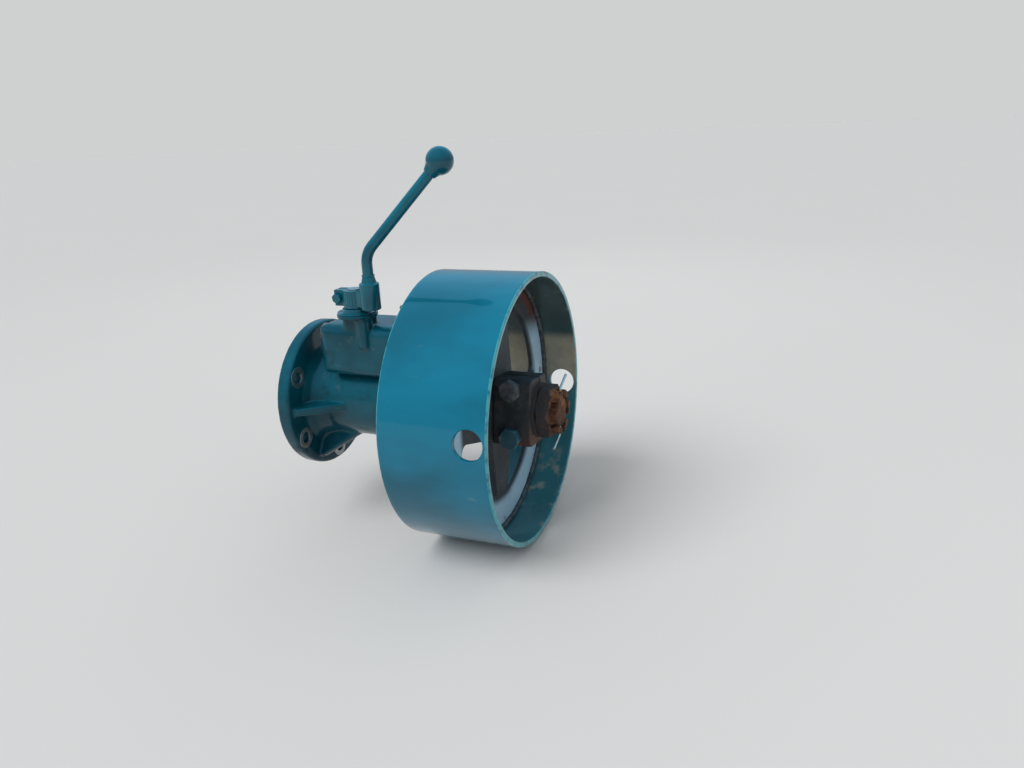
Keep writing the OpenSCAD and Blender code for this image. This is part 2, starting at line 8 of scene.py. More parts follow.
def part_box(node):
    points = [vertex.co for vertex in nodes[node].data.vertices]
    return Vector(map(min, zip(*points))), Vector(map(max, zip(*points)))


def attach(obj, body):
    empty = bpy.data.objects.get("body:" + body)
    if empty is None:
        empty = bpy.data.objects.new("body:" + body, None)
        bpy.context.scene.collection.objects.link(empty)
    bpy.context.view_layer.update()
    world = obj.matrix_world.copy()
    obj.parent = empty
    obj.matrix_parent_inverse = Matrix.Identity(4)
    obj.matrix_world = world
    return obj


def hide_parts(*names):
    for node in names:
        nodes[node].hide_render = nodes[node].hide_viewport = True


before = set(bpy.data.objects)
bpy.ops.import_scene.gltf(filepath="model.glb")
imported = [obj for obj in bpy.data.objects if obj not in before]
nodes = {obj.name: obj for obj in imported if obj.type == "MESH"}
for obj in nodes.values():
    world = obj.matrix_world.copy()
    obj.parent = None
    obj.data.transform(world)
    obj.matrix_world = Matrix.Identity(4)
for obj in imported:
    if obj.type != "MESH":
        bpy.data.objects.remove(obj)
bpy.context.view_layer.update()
scene = bpy.context.scene
mm = 0.001

# Camera. It stands where the photograph was taken from, in front of the drum and outboard of it,
# and looks down on it. Its lens gives the photograph's own field of view.
eye_point = Vector((0.5639, -0.7685, 0.3078))
eye_yaw, eye_pitch, eye_roll = (math.radians(a) for a in (21.685, 18.70, -2.64))
photo_width, focal_pixels = 1024, 769
ahead = Vector((-math.sin(eye_yaw) * math.cos(eye_pitch), math.cos(eye_yaw) * math.cos(eye_pitch),
                -math.sin(eye_pitch)))
level_right = ahead.cross(Vector((0, 0, 1))).normalized()
level_up = level_right.cross(ahead)
right = level_right * math.cos(eye_roll) + level_up * math.sin(eye_roll)
up = level_up * math.cos(eye_roll) - level_right * math.sin(eye_roll)
camera = bpy.data.objects.new("camera", bpy.data.cameras.new("camera"))
camera.data.sensor_width = 36
camera.data.lens = 36 * focal_pixels / photo_width
camera.data.clip_start, camera.data.clip_end = 0.05, 60
camera.matrix_world = Matrix.Translation(eye_point) @ Matrix(
    [[right[i], up[i], -ahead[i]] for i in range(3)]).to_4x4()
scene.collection.objects.link(camera)
scene.camera = camera
scene.view_settings.view_transform = "Standard"

# Floor and light. The studio has a plain pale floor and a pale backdrop. The gloss of the paint
# sees a soft blue-grey ceiling instead, so that the drum is brighter above than at its middle. A
# broad soft light falls from the front left, with three large dim lamps round the piece.


class Wire:
    """An output of a node, in a finish or in a shape's tree. Arithmetic on it adds Math nodes."""

    def __init__(self, tree, output=None):
        self.tree, self.output = tree, output

    def node(self, kind, settings=None, sockets=None, out=0):
        """Adds any node: its settings, then its sockets' values or links, by name or number."""
        made = self.tree.nodes.new(kind)
        for name, value in (settings or {}).items():
            setattr(made, name, value)
        for name, value in (sockets or {}).items():
            if isinstance(value, Wire):
                self.tree.links.new(value.output, made.inputs[name])
            elif isinstance(value, tuple) and made.inputs[name].type == "RGBA":
                made.inputs[name].default_value = (*value, 1)
            else:
                made.inputs[name].default_value = value
        return Wire(self.tree, made.outputs[out]) if made.outputs else None

    def math(self, operation, first, second=0.0, clamp=False):
        return self.node("ShaderNodeMath", {"operation": operation, "use_clamp": clamp},
                         {0: first, 1: second})

    def __add__(self, other): return self.math("ADD", self, other)
    def __radd__(self, other): return self.math("ADD", other, self)
    def __sub__(self, other): return self.math("SUBTRACT", self, other)
    def __rsub__(self, other): return self.math("SUBTRACT", other, self)
    def __mul__(self, other): return self.math("MULTIPLY", self, other)
    def __rmul__(self, other): return self.math("MULTIPLY", other, self)
    def __truediv__(self, other): return self.math("DIVIDE", self, other)
    def __pow__(self, other): return self.math("POWER", self, other)
    def __abs__(self): return self.math("ABSOLUTE", self)

    def either(self, other):
        """The larger of two values, and 1 at most."""
        return self.math("MAXIMUM", self, other, clamp=True)

    def fade(self, low, high):
        """0 where the value is at low and 1 where it is at high, smooth between them."""
        return self.node("ShaderNodeMapRange", {"interpolation_type": "SMOOTHSTEP"},
                         {0: self, 1: low, 2: high})

    def mix(self, first, second):
        """A colour that goes from first to second as this value goes from 0 to 1."""
        return self.node("ShaderNodeMix", {"data_type": "RGBA"}, {0: self, 6: first, 7: second},
                         out=2)

    def grooves(self, per_metre, detail=3.0):
        """Noise along this one distance, such as the fine rings that turning leaves."""
        return self.node("ShaderNodeTexNoise", {"noise_dimensions": "1D"},
                         {"W": self * per_metre, "Detail": detail})

    def bump(self, strength, reach):
        """A normal for a surface whose height is this value times reach."""
        return self.node("ShaderNodeBump", {},
                         {"Strength": strength, "Distance": reach, "Height": self})


def new_finish(name):
    """A material, its surface shader, its noise, and the place on the object as x, y and z."""
    finish = bpy.data.materials.new(name)
    finish.use_nodes = True
    tree = finish.node_tree
    place = Wire(tree).node("ShaderNodeTexCoord", out="Object")
    x, y, z = (place.node("ShaderNodeSeparateXYZ", {}, {0: place}, out=i) for i in range(3))

    def noise(scale, detail=3.0, roughness=0.55, stretch=None):
        """Soft noise on the object. Stretch scales the axes, so that it runs long or short."""
        spot = place.node("ShaderNodeVectorMath", {"operation": "MULTIPLY"},
                          {0: place, 1: stretch}) if stretch else place
        return place.node("ShaderNodeTexNoise", {"noise_dimensions": "3D"},
                          {"Vector": spot, "Scale": scale, "Detail": detail,
                           "Roughness": roughness})

    return finish, tree.nodes["Principled BSDF"], noise, x, y, z


def wire_up(shader, constants, **varying):
    """Sets a shader's plain sockets and links what varies over the surface."""
    for name, value in constants.items():
        socket = shader.inputs[name]
        socket.default_value = (*value, 1) if socket.type == "RGBA" else value
    for name, value in varying.items():
        shader.id_data.links.new(value.output, shader.inputs[name.replace("_", " ")])


floor_z, floor_r = -0.157, 30
floor_tone = (0.68, 0.68, 0.675)
bpy.ops.mesh.primitive_circle_add(vertices=128, radius=floor_r, fill_type="NGON",
                                  location=(0, 0, floor_z))
floor = bpy.context.object
floor.name = "floor"
floor_finish, shader, noise, x, y, z = new_finish("studio_floor")
cloud = noise(2.0, 2.0)
wire_up(shader, {"Specular IOR Level": 0.0},
        Base_Color=cloud.mix(*(tuple(c * k for c in floor_tone) for k in (0.99, 1.01))),
        Roughness=cloud * 0.1 + 0.8)
floor.data.materials.append(floor_finish)

room = bpy.data.worlds.new("room")
room.use_nodes = True
scene.world = room
room_tree = room.node_tree
room_tree.nodes.clear()
start = Wire(room_tree)
camera_ray, gloss_ray, glass_ray = (start.node("ShaderNodeLightPath", out="Is " + ray + " Ray")
                                    for ray in ("Camera", "Glossy", "Transmission"))
seen = camera_ray.either(gloss_ray).either(glass_ray)
height = start.node("ShaderNodeSeparateXYZ", {},
                    {0: start.node("ShaderNodeTexCoord", out="Generated")}, out=2)
ceiling = height.fade(0.02, 0.62).mix((0.30, 0.36, 0.40), (0.30, 0.86, 1.30))
backdrop = camera_ray.mix(ceiling, (0.624, 0.636, 0.636))
light = start.node("ShaderNodeBackground", {}, {"Color": (0.95, 0.975, 1.0), "Strength": 0.50})
shown = start.node("ShaderNodeBackground", {}, {"Color": backdrop, "Strength": 1.0})
both = start.node("ShaderNodeMixShader", {}, {0: seen, 1: light, 2: shown})
start.node("ShaderNodeOutputWorld", {}, {"Surface": both})

sun = bpy.data.objects.new("soft_sun", bpy.data.lights.new("soft_sun", "SUN"))
sun.data.energy, sun.data.angle = 1.9, math.radians(38)
sun.visible_glossy = False
sun.matrix_world = Vector((-0.45, -0.75, 0.95)).to_track_quat("Z", "Y").to_matrix().to_4x4()
scene.collection.objects.link(sun)
lamps = {"top": ((-0.10, -0.55, 1.35), 1.0, 0.45, 1.1, (1.0, 0.99, 0.97)),
         "side": ((1.70, -0.75, 0.55), 0.8, 1.0, 2.0, (0.94, 0.97, 1.0)),
         "back": ((-0.3, 1.6, 1.1), 1.2, 0.8, 2.0, (1.0, 1.0, 1.0))}
aim = Vector((0.15, 0.0, 0.03))
for name, (spot, width, depth, power, tint) in lamps.items():
    lamp = bpy.data.objects.new("lamp_" + name, bpy.data.lights.new("lamp_" + name, "AREA"))
    lamp.data.shape = "RECTANGLE"
    lamp.data.size, lamp.data.size_y = width, depth
    lamp.data.energy, lamp.data.color = power, tint
    lamp.visible_glossy = False
    lamp.matrix_world = (Matrix.Translation(spot)
                         @ (aim - Vector(spot)).to_track_quat("-Z", "Y").to_matrix().to_4x4())
    scene.collection.objects.link(lamp)


# Drum. The flat belt runs on this rim: a rolled steel band, 310 mm across and 120 mm wide, with two
# holes for the socket that tightens the hub. It is sprayed in gloss teal, with the scuffs of use,
# and its inside has thin dusty paint over dark steel, with a streak of red primer by the web.


def sizes(*millimetres):
    return [size * mm for size in millimetres]


drum_r, drum_wall, drum_x0, drum_x1 = sizes(155, 6, 170, 290)
drum_turn = math.radians(-6.2)
hole_r, hole_x, hole_bevel, hole_patch, drum_edge_r = sizes(16, 270, 0.7, 20.5, 1.1)
drum_columns, patch_columns, hole_rings = 288, 8, 4
teal, teal_deep, teal_worn_and_lit = (0.0005, 0.152, 0.246), (0.0004, 0.098, 0.156), (0.070, 0.360, 0.400)
dust = (0.33, 0.32, 0.27)


def merged(mesh, gap=1e-6, outward=True):
    """Joins a mesh's double points and, where asked, turns its faces outward."""
    work = bmesh.new()
    work.from_mesh(mesh)
    bmesh.ops.remove_doubles(work, verts=work.verts, dist=gap)
    if outward:
        bmesh.ops.recalc_face_normals(work, faces=work.faces)
    work.to_mesh(mesh)
    work.free()
    return mesh


def as_piece(name, mesh):
    """A piece of the scene from a mesh or curve that is already in its place."""
    mesh.name = name
    piece = bpy.data.objects.new(name, mesh)
    scene.collection.objects.link(piece)
    return piece


def shape(name, points, faces, *finishes, crease=32):
    """A piece whose faces point outward, smooth but for creases sharper than the angle given."""
    mesh = bpy.data.meshes.new(name)
    mesh.from_pydata([tuple(p) for p in points], [], faces)
    merged(mesh)
    mesh.shade_smooth()
    mesh.set_sharp_from_angle(angle=math.radians(crease))
    for finish in finishes:
        mesh.materials.append(finish)
    return as_piece(name, mesh)


def bands(loops):
    """Faces between each two neighbours in a list of closed loops of point numbers."""
    count = len(loops[0])
    return [(one[i], one[(i + 1) % count], two[(i + 1) % count], two[i])
            for one, two in zip(loops, loops[1:]) for i in range(count)]


def drum_wall_surface(r):
    """Points and faces of the drum's wall at radius r between its edges, with the two holes, then
    each hole's boundary and the two edges as lists of point numbers."""
    first_row, rows_by_hole = 20, 9
    start, patch, end = drum_x0 + drum_edge_r, hole_x - hole_patch, drum_x1 - drum_edge_r
    rows = [start + (patch - start) * i / first_row for i in range(first_row)]
    rows += [patch + (end - patch) * i / rows_by_hole for i in range(rows_by_hole + 1)]
    points, faces, rims = [], [], []
    step = 2 * math.pi / drum_columns

    def put(angle, x):
        points.append((x, r * math.cos(angle), r * math.sin(angle)))
        return len(points) - 1

    grid = [[put(i * step + drum_turn, x) for x in rows] for i in range(drum_columns)]
    centres = [0, drum_columns // 2]
    for i in range(drum_columns):
        near = any((i - c + patch_columns) % drum_columns < 2 * patch_columns for c in centres)
        for j in range(len(rows) - 1):
            if not (near and j >= first_row):
                k = (i + 1) % drum_columns
                faces.append((grid[i][j], grid[k][j], grid[k][j + 1], grid[i][j + 1]))
    for c in centres:
        columns = [(c + i) % drum_columns for i in range(-patch_columns, patch_columns + 1)]
        last = len(rows) - 1
        loop = [(i, first_row) for i in range(len(columns))]
        loop += [(len(columns) - 1, j) for j in range(first_row + 1, last + 1)]
        loop += [(i, last) for i in range(len(columns) - 2, -1, -1)]
        loop += [(0, j) for j in range(last - 1, first_row, -1)]
        outer = [grid[columns[i]][j] for i, j in loop]
        flat = [((i - patch_columns) * step * r, rows[j] - hole_x) for i, j in loop]
        around = [math.atan2(v, u) for u, v in flat]
        mouth = hole_r + hole_bevel
        rings = []
        for k in range(hole_rings):
            share = k / hole_rings
            ring = []
            for (u, v), a in zip(flat, around):
                cu, cv = mouth * math.cos(a), mouth * math.sin(a)
                du, dv = cu + (u - cu) * share, cv + (v - cv) * share
                ring.append(put(c * step + drum_turn + math.asin(du / r), hole_x + dv))
            rings.append(ring)
        rings.append(outer)
        faces += bands(rings)
        rims.append((rings[0], around, c * step + drum_turn))
    edges = [[grid[i][0] for i in range(drum_columns)], [grid[i][-1] for i in range(drum_columns)]]
    return points, faces, rims, edges


outer_points, outer_faces, outer_rims, outer_edges = drum_wall_surface(drum_r)
inner_points, inner_faces, inner_rims, inner_edges = drum_wall_surface(drum_r - drum_wall)
points = outer_points + inner_points
shift = len(outer_points)
faces = outer_faces + [tuple(i + shift for i in f) for f in inner_faces]
edge_steps = [math.radians(30 * k) for k in (1, 2, 3)]
rounding = [(drum_r - drum_edge_r, 1, a) for a in edge_steps]
rounding += [(drum_r - drum_wall + drum_edge_r, -1, a) for a in reversed(edge_steps)]
for side, x_edge, inward in ((0, drum_x0, 1), (1, drum_x1, -1)):
    loops = [outer_edges[side]]
    for middle, way, a in rounding:
        loops.append([])
        for i in outer_edges[side]:
            turn = math.atan2(points[i][2], points[i][1])
            r = middle + way * drum_edge_r * math.cos(a)
            points.append((x_edge + inward * drum_edge_r * (1 - math.sin(a)), r * math.cos(turn),
                           r * math.sin(turn)))
            loops[-1].append(len(points) - 1)
    loops.append([i + shift for i in inner_edges[side]])
    faces += bands(loops)
for (outer_rim, around, centre), (inner_rim, _, _) in zip(outer_rims, inner_rims):
    loops = [outer_rim]
    sideways = Vector((0, -math.sin(centre), math.cos(centre)))
    out = Vector((0, math.cos(centre), math.sin(centre)))
    for depth in (hole_bevel, drum_wall - hole_bevel):
        loops.append([])
        for a in around:
            du, dv = hole_r * math.cos(a), hole_r * math.sin(a)
            r = math.sqrt((drum_r - depth) ** 2 - du * du)
            points.append(tuple(sideways * du + out * r + Vector((hole_x + dv, 0, 0))))
            loops[-1].append(len(points) - 1)
    loops.append([i + shift for i in inner_rim])
    faces += bands(loops)

drum_paint, shader, noise, x, y, z = new_finish("drum_gloss_paint")
mottle = noise(8.5, stretch=(0.7, 1.0, 1.3))
scuff_field = noise(1.0, 5.0, 0.62, (10.0, 20.0, 65.0))
scuffs = scuff_field.fade(0.64, 0.74) * noise(22.0, 2.0).fade(0.47, 0.60)
specks = noise(900.0, 1.0).fade(0.73, 0.80) * noise(30.0, 2.0).fade(0.45, 0.62)
# Pale teal round the drum's two edges: worn paint, made paler as a painted highlight along the lit
# edge.
near_edge = x.fade(0.2878, 0.2893).either(1.0 - x.fade(0.1706, 0.1718))
worn_and_lit_edge = near_edge * noise(90.0, 4.0).fade(0.30, 0.55)
tone = mottle.fade(0.36, 0.64).mix(teal_deep, teal)
tone = (worn_and_lit_edge * 0.85).mix(tone, teal_worn_and_lit)
tone = (scuffs * 0.55).either(specks * 0.35).mix(tone, dust)
peel = noise(320.0, 2.0) + noise(60.0, 2.0) * 1.5
wire_up(shader, {"Coat Roughness": 0.035, "Coat IOR": 1.38, "Specular IOR Level": 0.1},
        Base_Color=tone, Roughness=0.30 + scuffs * 0.35 + mottle * 0.08,
        Coat_Weight=1.0 - 0.85 * scuffs.either(specks),
        Normal=peel.bump(0.10, 0.0004))

drum_inside, shader, noise, x, y, z = new_finish("drum_inside_paint")
grey_green, dull_teal = (0.036, 0.066, 0.064), (0.014, 0.135, 0.165)
primer, bare_dark = (0.13, 0.035, 0.022), (0.020, 0.022, 0.022)
cover = noise(16.0, 4.0)
# The inside is darker and greener above the shaft, and bluer and lighter below it.
low = z.fade(0.035, -0.045)
tone = (low * 0.85 + cover * 0.35 - 0.12).mix(grey_green, dull_teal)
swirl = noise(1.0, stretch=(900.0, 60.0, 60.0))
tone = (swirl.fade(0.55, 0.8) * 0.25).mix(tone, bare_dark)
red = x.fade(0.2555, 0.2495) * z.fade(0.075, 0.105) * y.fade(0.085, 0.02) * cover.fade(0.30, 0.46)
tone = (red * 0.9).mix(tone, primer)
settled = noise(55.0, 5.0, 0.6)
dusty = settled.fade(0.50, 0.72) * noise(11.0, 2.0).fade(0.42, 0.60)
# A pale patch at mid height on the rear of the inside: dust, with a painted patch of sunlight on
# it.
rear_dust_and_sunlit_patch = y.fade(0.100, 0.125) * (1.0 - z.fade(0.038, 0.056)) * z.fade(-0.030, 0.004)
dusty = (dusty * 0.6).either(rear_dust_and_sunlit_patch * (0.45 + settled) * 0.95)
tone = dusty.mix(tone, (0.36, 0.33, 0.25))
specks = noise(700.0, 1.0).fade(0.74, 0.80) * z.fade(0.03, -0.06)
tone = (specks * 0.8).mix(tone, dust)
wire_up(shader, {"Coat Roughness": 0.12, "Specular IOR Level": 0.5},
        Base_Color=tone, Roughness=0.42 + dusty * 0.35 + cover * 0.1,
        Coat_Weight=0.45 - 0.4 * dusty, Normal=(swirl * 0.6 + settled).bump(0.18, 0.0004))

drum = shape("drum_rim", points, faces, drum_paint, drum_inside)
for face in drum.data.polygons:
    centre = face.center
    if math.hypot(centre.y, centre.z) < drum_r - drum_wall + 0.3 * mm:
        face.material_index = 1
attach(drum, "pulley")
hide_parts("pulley_rim")


# Spider. A ring and four tapered arms, flame cut from one 9 mm plate and welded into the rim. Its
# cut edges are slightly rounded, and the plate has dark mill scale under thin blue-grey overspray,
# which lies thickest on the ring. The pale blue low on the ring's outboard face is that overspray,
# brightened as painted sunlight.


def plain_mesh(piece):
    """The mesh of a piece after its modifiers."""
    return bpy.data.meshes.new_from_object(
        piece.evaluated_get(bpy.context.evaluated_depsgraph_get()))


def applied(piece):
    """Turns a piece's modifiers into its plain mesh."""
    result = plain_mesh(piece)
    piece.modifiers.clear()
    piece.data = result
    return piece


def cast(piece, grain, soften, finish, keep=0.5):
    """Gives a piece the fillets and soft corners of a casting: a skin of faces as large as grain,
    relaxed, of which it keeps a share."""
    skin = piece.modifiers.new("skin", "REMESH")
    skin.mode, skin.voxel_size = "VOXEL", grain
    relax = piece.modifiers.new("relax", "SMOOTH")
    relax.factor, relax.iterations = 0.5, soften
    piece.modifiers.new("fewer", "DECIMATE").ratio = keep
    applied(piece)
    piece.data.shade_smooth()
    piece.data.materials.clear()
    piece.data.materials.append(finish)
    return piece


def off_axis(first, second):
    """The distance from an axis, out of the two coordinates across it."""
    return (first * first + second * second) ** 0.5


scale_dark, overspray, pale_blue_spray_and_sunlight = (0.034, 0.038, 0.040), (0.080, 0.098, 0.105), (0.46, 0.66, 0.79)
rust_deep, rust_mid, rust_bright = (0.035, 0.014, 0.008), (0.115, 0.042, 0.018), (0.28, 0.12, 0.05)

plate_finish, shader, noise, x, y, z = new_finish("spider_plate")
r_here = off_axis(y, z)
patches = noise(20.0, 4.0, 0.6)
grit = noise(420.0, 3.0, 0.6)
on_ring = r_here.fade(0.108, 0.120)
outboard_face = x.fade(0.240, 0.2445)
tone = (patches.fade(0.35, 0.68) * 0.6).mix(scale_dark, overspray)
# Pale blue on the lower outboard face of the ring: overspray, brightened as painted sunlight and
# highlight.
sprayed_and_sunlit = on_ring * outboard_face * (1.0 - z.fade(0.045, 0.085))
tone = (sprayed_and_sunlit * (0.62 + patches * 0.5)).mix(tone, pale_blue_spray_and_sunlight)
primed = on_ring * outboard_face * z.fade(0.060, 0.095) * r_here.fade(0.126, 0.138)
tone = (primed * 0.85).mix(tone, primer)
tone = (grit.fade(0.62, 0.75) * 0.35).mix(tone, dust)
rusty_spots = noise(48.0, 5.0, 0.65).fade(0.60, 0.70)
tone = (rusty_spots * 0.7).mix(tone, rust_mid)
wire_up(shader, {"Specular IOR Level": 0.45}, Base_Color=tone,
        Roughness=0.58 + patches * 0.2 + rusty_spots * 0.15,
        Metallic=0.25 - rusty_spots * 0.2,
        Normal=(grit + patches * 3.0).bump(0.45, 0.0005))
web_x0, web_x1, hub_radius = sizes(236, 245, 35)
arm_root, ring_inner, window_corner = sizes(39, 116, 10)
arm_taper = math.radians(12.1)


def spun(degrees, axis):
    return Matrix.Rotation(math.radians(degrees), 4, axis)


def moved(x, y=0, z=0):
    return Matrix.Translation((x, y, z))


to_shaft, drum_spin = spun(90, "Y"), Matrix.Rotation(drum_turn, 4, "X")
in_drum = drum_spin @ to_shaft


def arc(centre, radius, start, end, steps):
    """Points of an arc, with its angles in radians."""
    angles = [start + (end - start) * i / steps for i in range(steps + 1)]
    return [centre + Vector((math.cos(a), math.sin(a))) * radius for a in angles]


def window_outline():
    """One window between two arms, about the x axis: two corners at the ring and one at the hub."""
    half = math.radians(45) + arm_taper
    into_window = Vector((math.sin(half), math.cos(half)))
    along_side = Vector((math.cos(half), -math.sin(half)))
    on_arm = into_window * (arm_root * math.cos(arm_taper) + window_corner)
    inner = Vector((on_arm.length / math.sin(half), 0))
    run = math.sqrt((ring_inner - window_corner) ** 2 - on_arm.length_squared)
    outer = on_arm + along_side * run
    to_arm, to_ring = math.atan2(-into_window.y, -into_window.x), math.atan2(outer.y, outer.x)
    lower = arc(outer, window_corner, to_arm, to_ring, 16)
    upper = [Vector((p.x, -p.y)) for p in reversed(lower)]
    return (lower + arc(Vector((0, 0)), ring_inner, to_ring, -to_ring, 40)[1:-1] + upper
            + arc(inner, window_corner, -to_arm, 2 * math.pi + to_arm, 16))


def add_line(curve, points, closed):
    """Adds a straight-sided line through points to a curve."""
    line = curve.splines.new("POLY")
    line.points.add(len(points) - 1)
    for spot, p in zip(line.points, points):
        spot.co = (*p.to_3d(), 1)
    line.use_cyclic_u = closed


def mesh_of(curve, place):
    """The plain closed mesh of a curve, set at place."""
    drawn = as_piece(curve.name, curve)
    mesh = plain_mesh(drawn)
    bpy.data.objects.remove(drawn)
    mesh.transform(place)
    return merged(mesh)


outlines = [arc(Vector((0, 0)), r, 0, 2 * math.pi, count)[:-1]
            for r, count in ((drum_r - drum_wall, 288), (hub_radius, 96))]
for i in range(4):
    turn = Matrix.Rotation(math.radians(45 + 90 * i), 2)
    outlines.append([turn @ p for p in window_outline()])
cut = bpy.data.curves.new("spider_outline", "CURVE")
cut.dimensions, cut.fill_mode, cut.extrude = "2D", "BOTH", (web_x1 - web_x0) / 2
for outline in outlines:
    add_line(cut, outline, closed=True)
spider = as_piece("spider", mesh_of(cut, moved((web_x0 + web_x1) / 2) @ in_drum))
cast(spider, 1.15 * mm, 3, plate_finish)
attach(spider, "pulley")
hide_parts("pulley_spider")


# Welds. Fillet welds join the plate to the rim on both sides and to the hub at the back. Each is a
# bead laid by hand in short overlapping ripples, dark with scale.


def new_tree(name, **inputs):
    """An empty geometry tree, followed by its inputs, whose kinds are given by name."""
    tree = bpy.data.node_groups.new(name, "GeometryNodeTree")
    for key, kind in inputs.items():
        tree.interface.new_socket(key, in_out="INPUT", socket_type="NodeSocket" + kind)
    tree.interface.new_socket("piece", in_out="OUTPUT", socket_type="NodeSocketGeometry")
    given = tree.nodes.new("NodeGroupInput").outputs
    return tree, *(Wire(tree, given[key]) for key in inputs)


def close_tree(geometry, finish):
    """Ends a geometry tree: its instances are made real, and the finish is put on."""
    real = geometry.node("GeometryNodeRealizeInstances", {}, {0: geometry})
    coated = geometry.node("GeometryNodeSetMaterial", {}, {"Geometry": real, "Material": finish})
    geometry.node("NodeGroupOutput", {}, {0: coated})


def made_by(tree, name, place, **given):
    """Runs a geometry tree on an empty mesh, each input given by name, and sets it at place."""
    piece = as_piece(name, bpy.data.meshes.new(name))
    build = piece.modifiers.new("build", "NODES")
    build.node_group = tree
    for entry in tree.interface.items_tree:
        if entry.in_out == "INPUT":
            build[entry.identifier] = given[entry.name]
    applied(piece)
    piece.data.transform(place)
    piece.data.shade_smooth()
    return piece


ripple_steps, ripple_low, ripple_rise = 4, 0.86, 0.07
bead_tree, ring_in, size_in, ripples_in, seed_in, finish_in = new_tree(
    "weld_bead", ring_radius="Float", bead_radius="Float", ripples="Int", seed="Int",
    finish="Material")
ring = ring_in.node("GeometryNodeCurvePrimitiveCircle", {"mode": "RADIUS"}, {"Radius": ring_in})
path = ring.node("GeometryNodeResampleCurve", {},
                 {"Curve": ring, "Count": ripples_in * ripple_steps})
phase = path.math("MODULO", path.node("GeometryNodeInputIndex"), ripple_steps)
uneven = path.node("FunctionNodeRandomValue", {"data_type": "FLOAT"},
                   {2: 0.92, 3: 1.08, "Seed": seed_in}, out=1)
section = path.node("GeometryNodeCurvePrimitiveCircle", {"mode": "RADIUS"},
                    {"Resolution": 10, "Radius": 1.0})
tube = path.node("GeometryNodeCurveToMesh", {}, {"Curve": path, "Profile Curve": section,
                 "Scale": (phase * ripple_rise + ripple_low) * uneven * size_in})
close_tree(tube, finish_in)

bead_scale, shader, noise, x, y, z = new_finish("weld_scale")
slag = noise(130.0, 4.0, 0.6)
tone = slag.fade(0.35, 0.65).mix((0.028, 0.030, 0.032), (0.085, 0.105, 0.115))
tone = (slag.fade(0.62, 0.75) * 0.7).mix(tone, rust_mid)
wire_up(shader, {"Specular IOR Level": 0.5}, Base_Color=tone, Roughness=0.45 + slag * 0.3,
        Metallic=0.35 - slag * 0.2, Normal=noise(700.0, 2.0).bump(0.3, 0.0003))

bead, ripple_length, rise = sizes(3.4, 3.2, 1.4)
by_rim, by_hub = drum_r - drum_wall - 1.6 * mm, hub_radius + 1.6 * mm
welds = []
for i, (radius, at) in enumerate(((by_rim, web_x1 + rise), (by_rim, web_x0 - rise),
                                  (by_hub, web_x0 - rise))):
    welds.append(made_by(bead_tree, f"weld_{i}", moved(at) @ in_drum,
                         ring_radius=radius, bead_radius=bead, seed=11 + i, finish=bead_scale,
                         ripples=int(radius * 2 * math.pi / ripple_length)))
for weld in welds:
    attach(weld, "pulley")
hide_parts("web_welds")


# Hub. A steel boss through the middle of the plate. Outboard of the plate its front half is a loose
# cap, drawn onto the shaft by two bolts. Both are rough and dark, and rust from the lower corner.
hub_brown, hub_black = (0.060, 0.058, 0.060), (0.026, 0.029, 0.033)
hub_finish, shader, noise, x, y, z = new_finish("hub_dark_iron")
lumps = noise(60.0, 4.0, 0.6)
pits = noise(500.0, 3.0, 0.65)
tone = lumps.fade(0.35, 0.7).mix(hub_black, hub_brown)
tone = (x.fade(0.2875, 0.2895) * 0.5).mix(tone, (0.075, 0.055, 0.045))
flake = noise(75.0, 5.0, 0.7)
low_corner = x.fade(0.258, 0.290) * z.fade(-0.004, -0.036) * flake.fade(0.36, 0.56)
tone = (low_corner * 0.9).either(flake.fade(0.60, 0.70) * 0.55).mix(tone, rust_mid)
tone = (low_corner * flake.fade(0.55, 0.68) * 0.8).mix(tone, rust_bright)
tone = (pits.fade(0.66, 0.76) * 0.25).mix(tone, dust)
wire_up(shader, {"Specular IOR Level": 0.5}, Base_Color=tone,
        Roughness=0.50 + lumps * 0.2 + low_corner * 0.2, Metallic=0.3 - low_corner * 0.25,
        Normal=(pits + lumps * 2.5 + flake * 1.5).bump(0.5, 0.0006))


def copied(name, node):
    """A piece from a CAD node's mesh, with its loose triangles joined."""
    mesh = nodes[node].data.copy()
    mesh.materials.clear()
    return as_piece(name, merged(mesh, 2e-6, outward=False))


hub = cast(copied("hub_rear_half", "pulley_hub"), 0.9 * mm, 12, hub_finish)
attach(hub, "pulley")
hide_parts("pulley_hub")
cap = cast(copied("hub_front_cap", "hub_cap"), 0.8 * mm, 14, hub_finish)
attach(cap, "pulley")
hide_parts("hub_cap")


# Clamp bolts. Two M14 hexagon bolts draw the cap onto the shaft. The upper one is bare and dark,
# the lower one was painted over with the drum.


def corner_arc(before, corner, after, radius, steps, blend):
    """Points of an arc that rounds a corner between the points before and after it."""
    back, on = (before - corner).normalized(), (after - corner).normalized()
    half = back.angle(on) / 2
    centre = corner + (back + on).normalized() * radius / math.sin(half)
    first, last = (corner + way * radius / math.tan(half) - centre for way in (back, on))
    return [centre + blend(first, last, k / steps).normalized() * radius for k in range(steps + 1)]


def rounded(corners):
    """A profile through (along, radius, corner radius) points, with an arc at each corner."""
    profile, spots = [], [Vector(c[:2]) for c in corners]
    for i, (a, r, corner) in enumerate(corners):
        if corner == 0:
            profile.append((a, r))
        else:
            profile += corner_arc(spots[i - 1], spots[i], spots[(i + 1) % len(spots)], corner, 4,
                                  Vector.lerp)
    return profile


